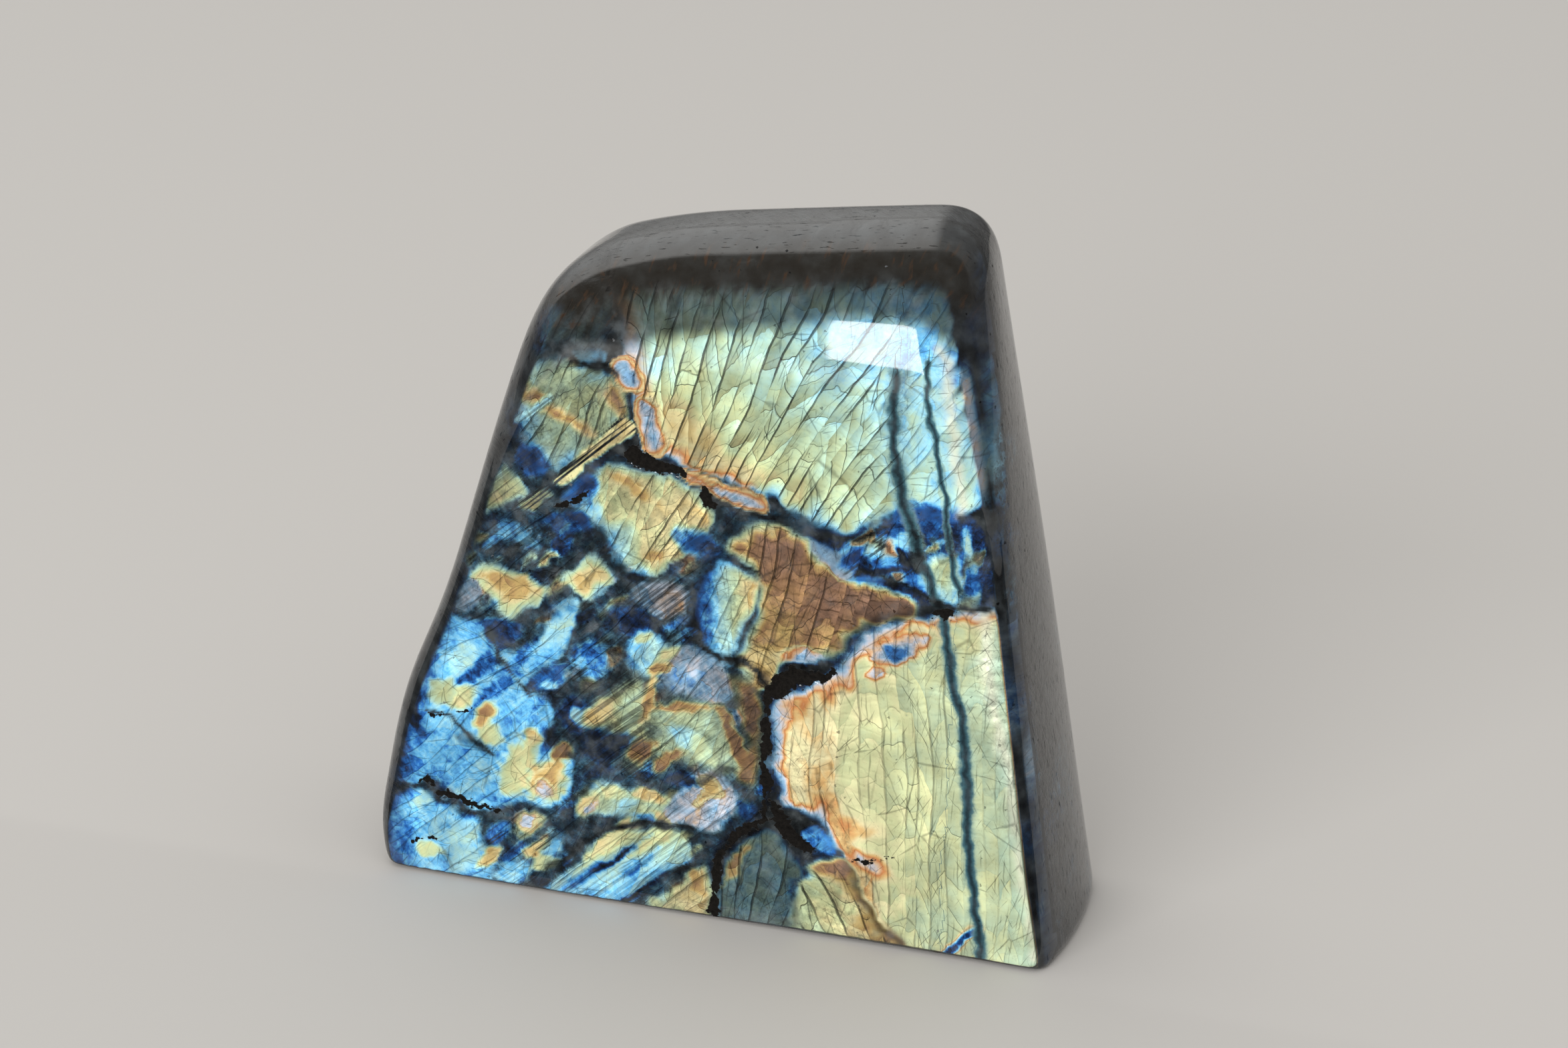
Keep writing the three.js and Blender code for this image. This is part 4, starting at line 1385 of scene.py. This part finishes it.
CARD_BACK = -0.03  # the card's back edge is under the stone
CARD_DEPTH = 1.6
CARD_PLACE = (0, CARD_BACK - CARD_DEPTH / 2, 0.002)
floor = sheet("floor", 12, 12, (0, 0, 0), "matt white laminate", "#c0bdb9", 0.7)
card = sheet("black_card", 2.4, CARD_DEPTH, CARD_PLACE, "black paper", "#0c0c0c", 0.9)
for ray in ("camera", "diffuse", "shadow", "transmission", "volume_scatter"):
    setattr(card, "visible_" + ray, False)
print("the floor is", floor.dimensions.x, "m wide, and only mirror reflections see the card")

# %% [markdown]
# ## Camera
#
# The camera looks down on the stone from a little to the right of its show face, from 0.7 m away
# with a short telephoto view.

# %% Camera
CAMERA_AZIMUTH = math.radians(17.6)
CAMERA_ELEVATION = math.radians(24.2)
CAMERA_DISTANCE = 0.7074
CAMERA_TARGET = Vector((10.2, -0.9, 85.7)) * MM
PICTURE_HEIGHT = math.radians(18)  # the vertical angle of view
PICTURE_SHAPE = 2346 / 1568  # width over height
SENSOR = 36  # mm

camera = bpy.data.objects.new("camera", bpy.data.cameras.new("camera"))
bpy.context.scene.collection.objects.link(camera)
level = math.cos(CAMERA_ELEVATION)
sideways, forwards = level * math.sin(CAMERA_AZIMUTH), level * math.cos(CAMERA_AZIMUTH)
backwards = Vector((sideways, -forwards, math.sin(CAMERA_ELEVATION)))
camera.location = CAMERA_TARGET + backwards * CAMERA_DISTANCE
camera.rotation_euler = (-backwards).to_track_quat("-Z", "Y").to_euler()
camera.data.sensor_width = SENSOR
camera.data.lens = SENSOR / PICTURE_SHAPE / 2 / math.tan(PICTURE_HEIGHT / 2)
camera.data.clip_start = 0.01
bpy.context.scene.camera = camera
print("lens", round(camera.data.lens, 2), "mm")

# %% [markdown]
# ## Light
#
# A polished dark stone shows what is round it as much as itself, so the room's light goes by the
# direction. It is bright behind the stone and above, which gives the top and the far right facet
# their grey sheen, and dark in front, which keeps the rounded edges black. Only reflections see
# that room: the camera and the matt light get an even one. A big softbox at the front left lights
# the flash and stays out of mirror reflections, and a small window light does the one crisp
# reflection at the upper right.

# %% Room
world = bpy.data.worlds.new("room")
bpy.context.scene.world = world
world.use_nodes = True
tree = world.node_tree
tree.nodes.clear()
way_x, way_y, way_z = add("SeparateXYZ", add("TexCoord", out="Generated")).node.outputs
room_light = add("MapRange", way_z, 0.1, 0.85, 0.25, 1.95)
for way, dark_at, bright_at, least in ((way_y, -0.05, 0.1, 0.0), (way_x, -0.16, -0.34, 0.25)):
    gate = add("MapRange", way, dark_at, bright_at, least, 1.0, interpolation_type="SMOOTHSTEP")
    room_light = add("Math", room_light, gate, operation="MULTIPLY")
room_light = add("Math", room_light, 0.1, operation="ADD")
path = add("LightPath").node.outputs
mirrored = add("Background", Color=linear("#fbfaf7"), Strength=room_light)
lit_by = add("Background", Color=linear("#fdfcfa"), Strength=0.85)
seen = add("Background", Color=linear("#bfbdba"), Strength=1.0)
for_matt = add("MixShader", path["Is Diffuse Ray"], mirrored, lit_by)
both = add("MixShader", path["Is Camera Ray"], for_matt, seen)
add("OutputWorld", Surface=both)
bpy.context.scene.view_settings.view_transform = "Standard"
print("nodes in the room:", len(tree.nodes))


# %% Softbox and window
def area_light(name, place, aim, width, height, radiance, mirrored):
    """An area light of a given radiance, seen in mirror reflections or not."""
    lamp = bpy.data.lights.new(name, "AREA")
    lamp.shape = "RECTANGLE"
    lamp.size = width
    lamp.size_y = height
    lamp.energy = math.pi * radiance * width * height
    holder = bpy.data.objects.new(name, lamp)
    bpy.context.scene.collection.objects.link(holder)
    holder.location = place
    holder.rotation_euler = (Vector(aim) - Vector(place)).to_track_quat("-Z", "Y").to_euler()
    holder.visible_glossy = mirrored
    return holder


MIDDLE = Vector((0, 0, 80 * MM))
SOFTBOX_PLACE = (-0.9, -3.6, 1.7)
softbox = area_light("softbox", SOFTBOX_PLACE, MIDDLE, 3.0, 1.8, radiance=6.8, mirrored=False)
print("softbox", round(softbox.data.energy, 1), "W")

# The window's reflection lies round this point of the rolled top of the show face.
WINDOW_POINT = Vector((36.6, 0, 132.3)) * MM
WINDOW_FAR = 1.2
RAY_FROM = Vector((0, -0.2, 0))
surface_point, surface_normal, _, _ = smooth_surface.ray_cast(WINDOW_POINT + RAY_FROM, -RAY_FROM)
to_camera = (camera.location - surface_point).normalized()
mirror_way = (2 * surface_normal.dot(to_camera) * surface_normal - to_camera).normalized()
window_place = surface_point + mirror_way * WINDOW_FAR
window = area_light("window", window_place, surface_point, 0.094, 0.13, radiance=11.0, mirrored=True)
print("window at", [round(value, 2) for value in window.location])
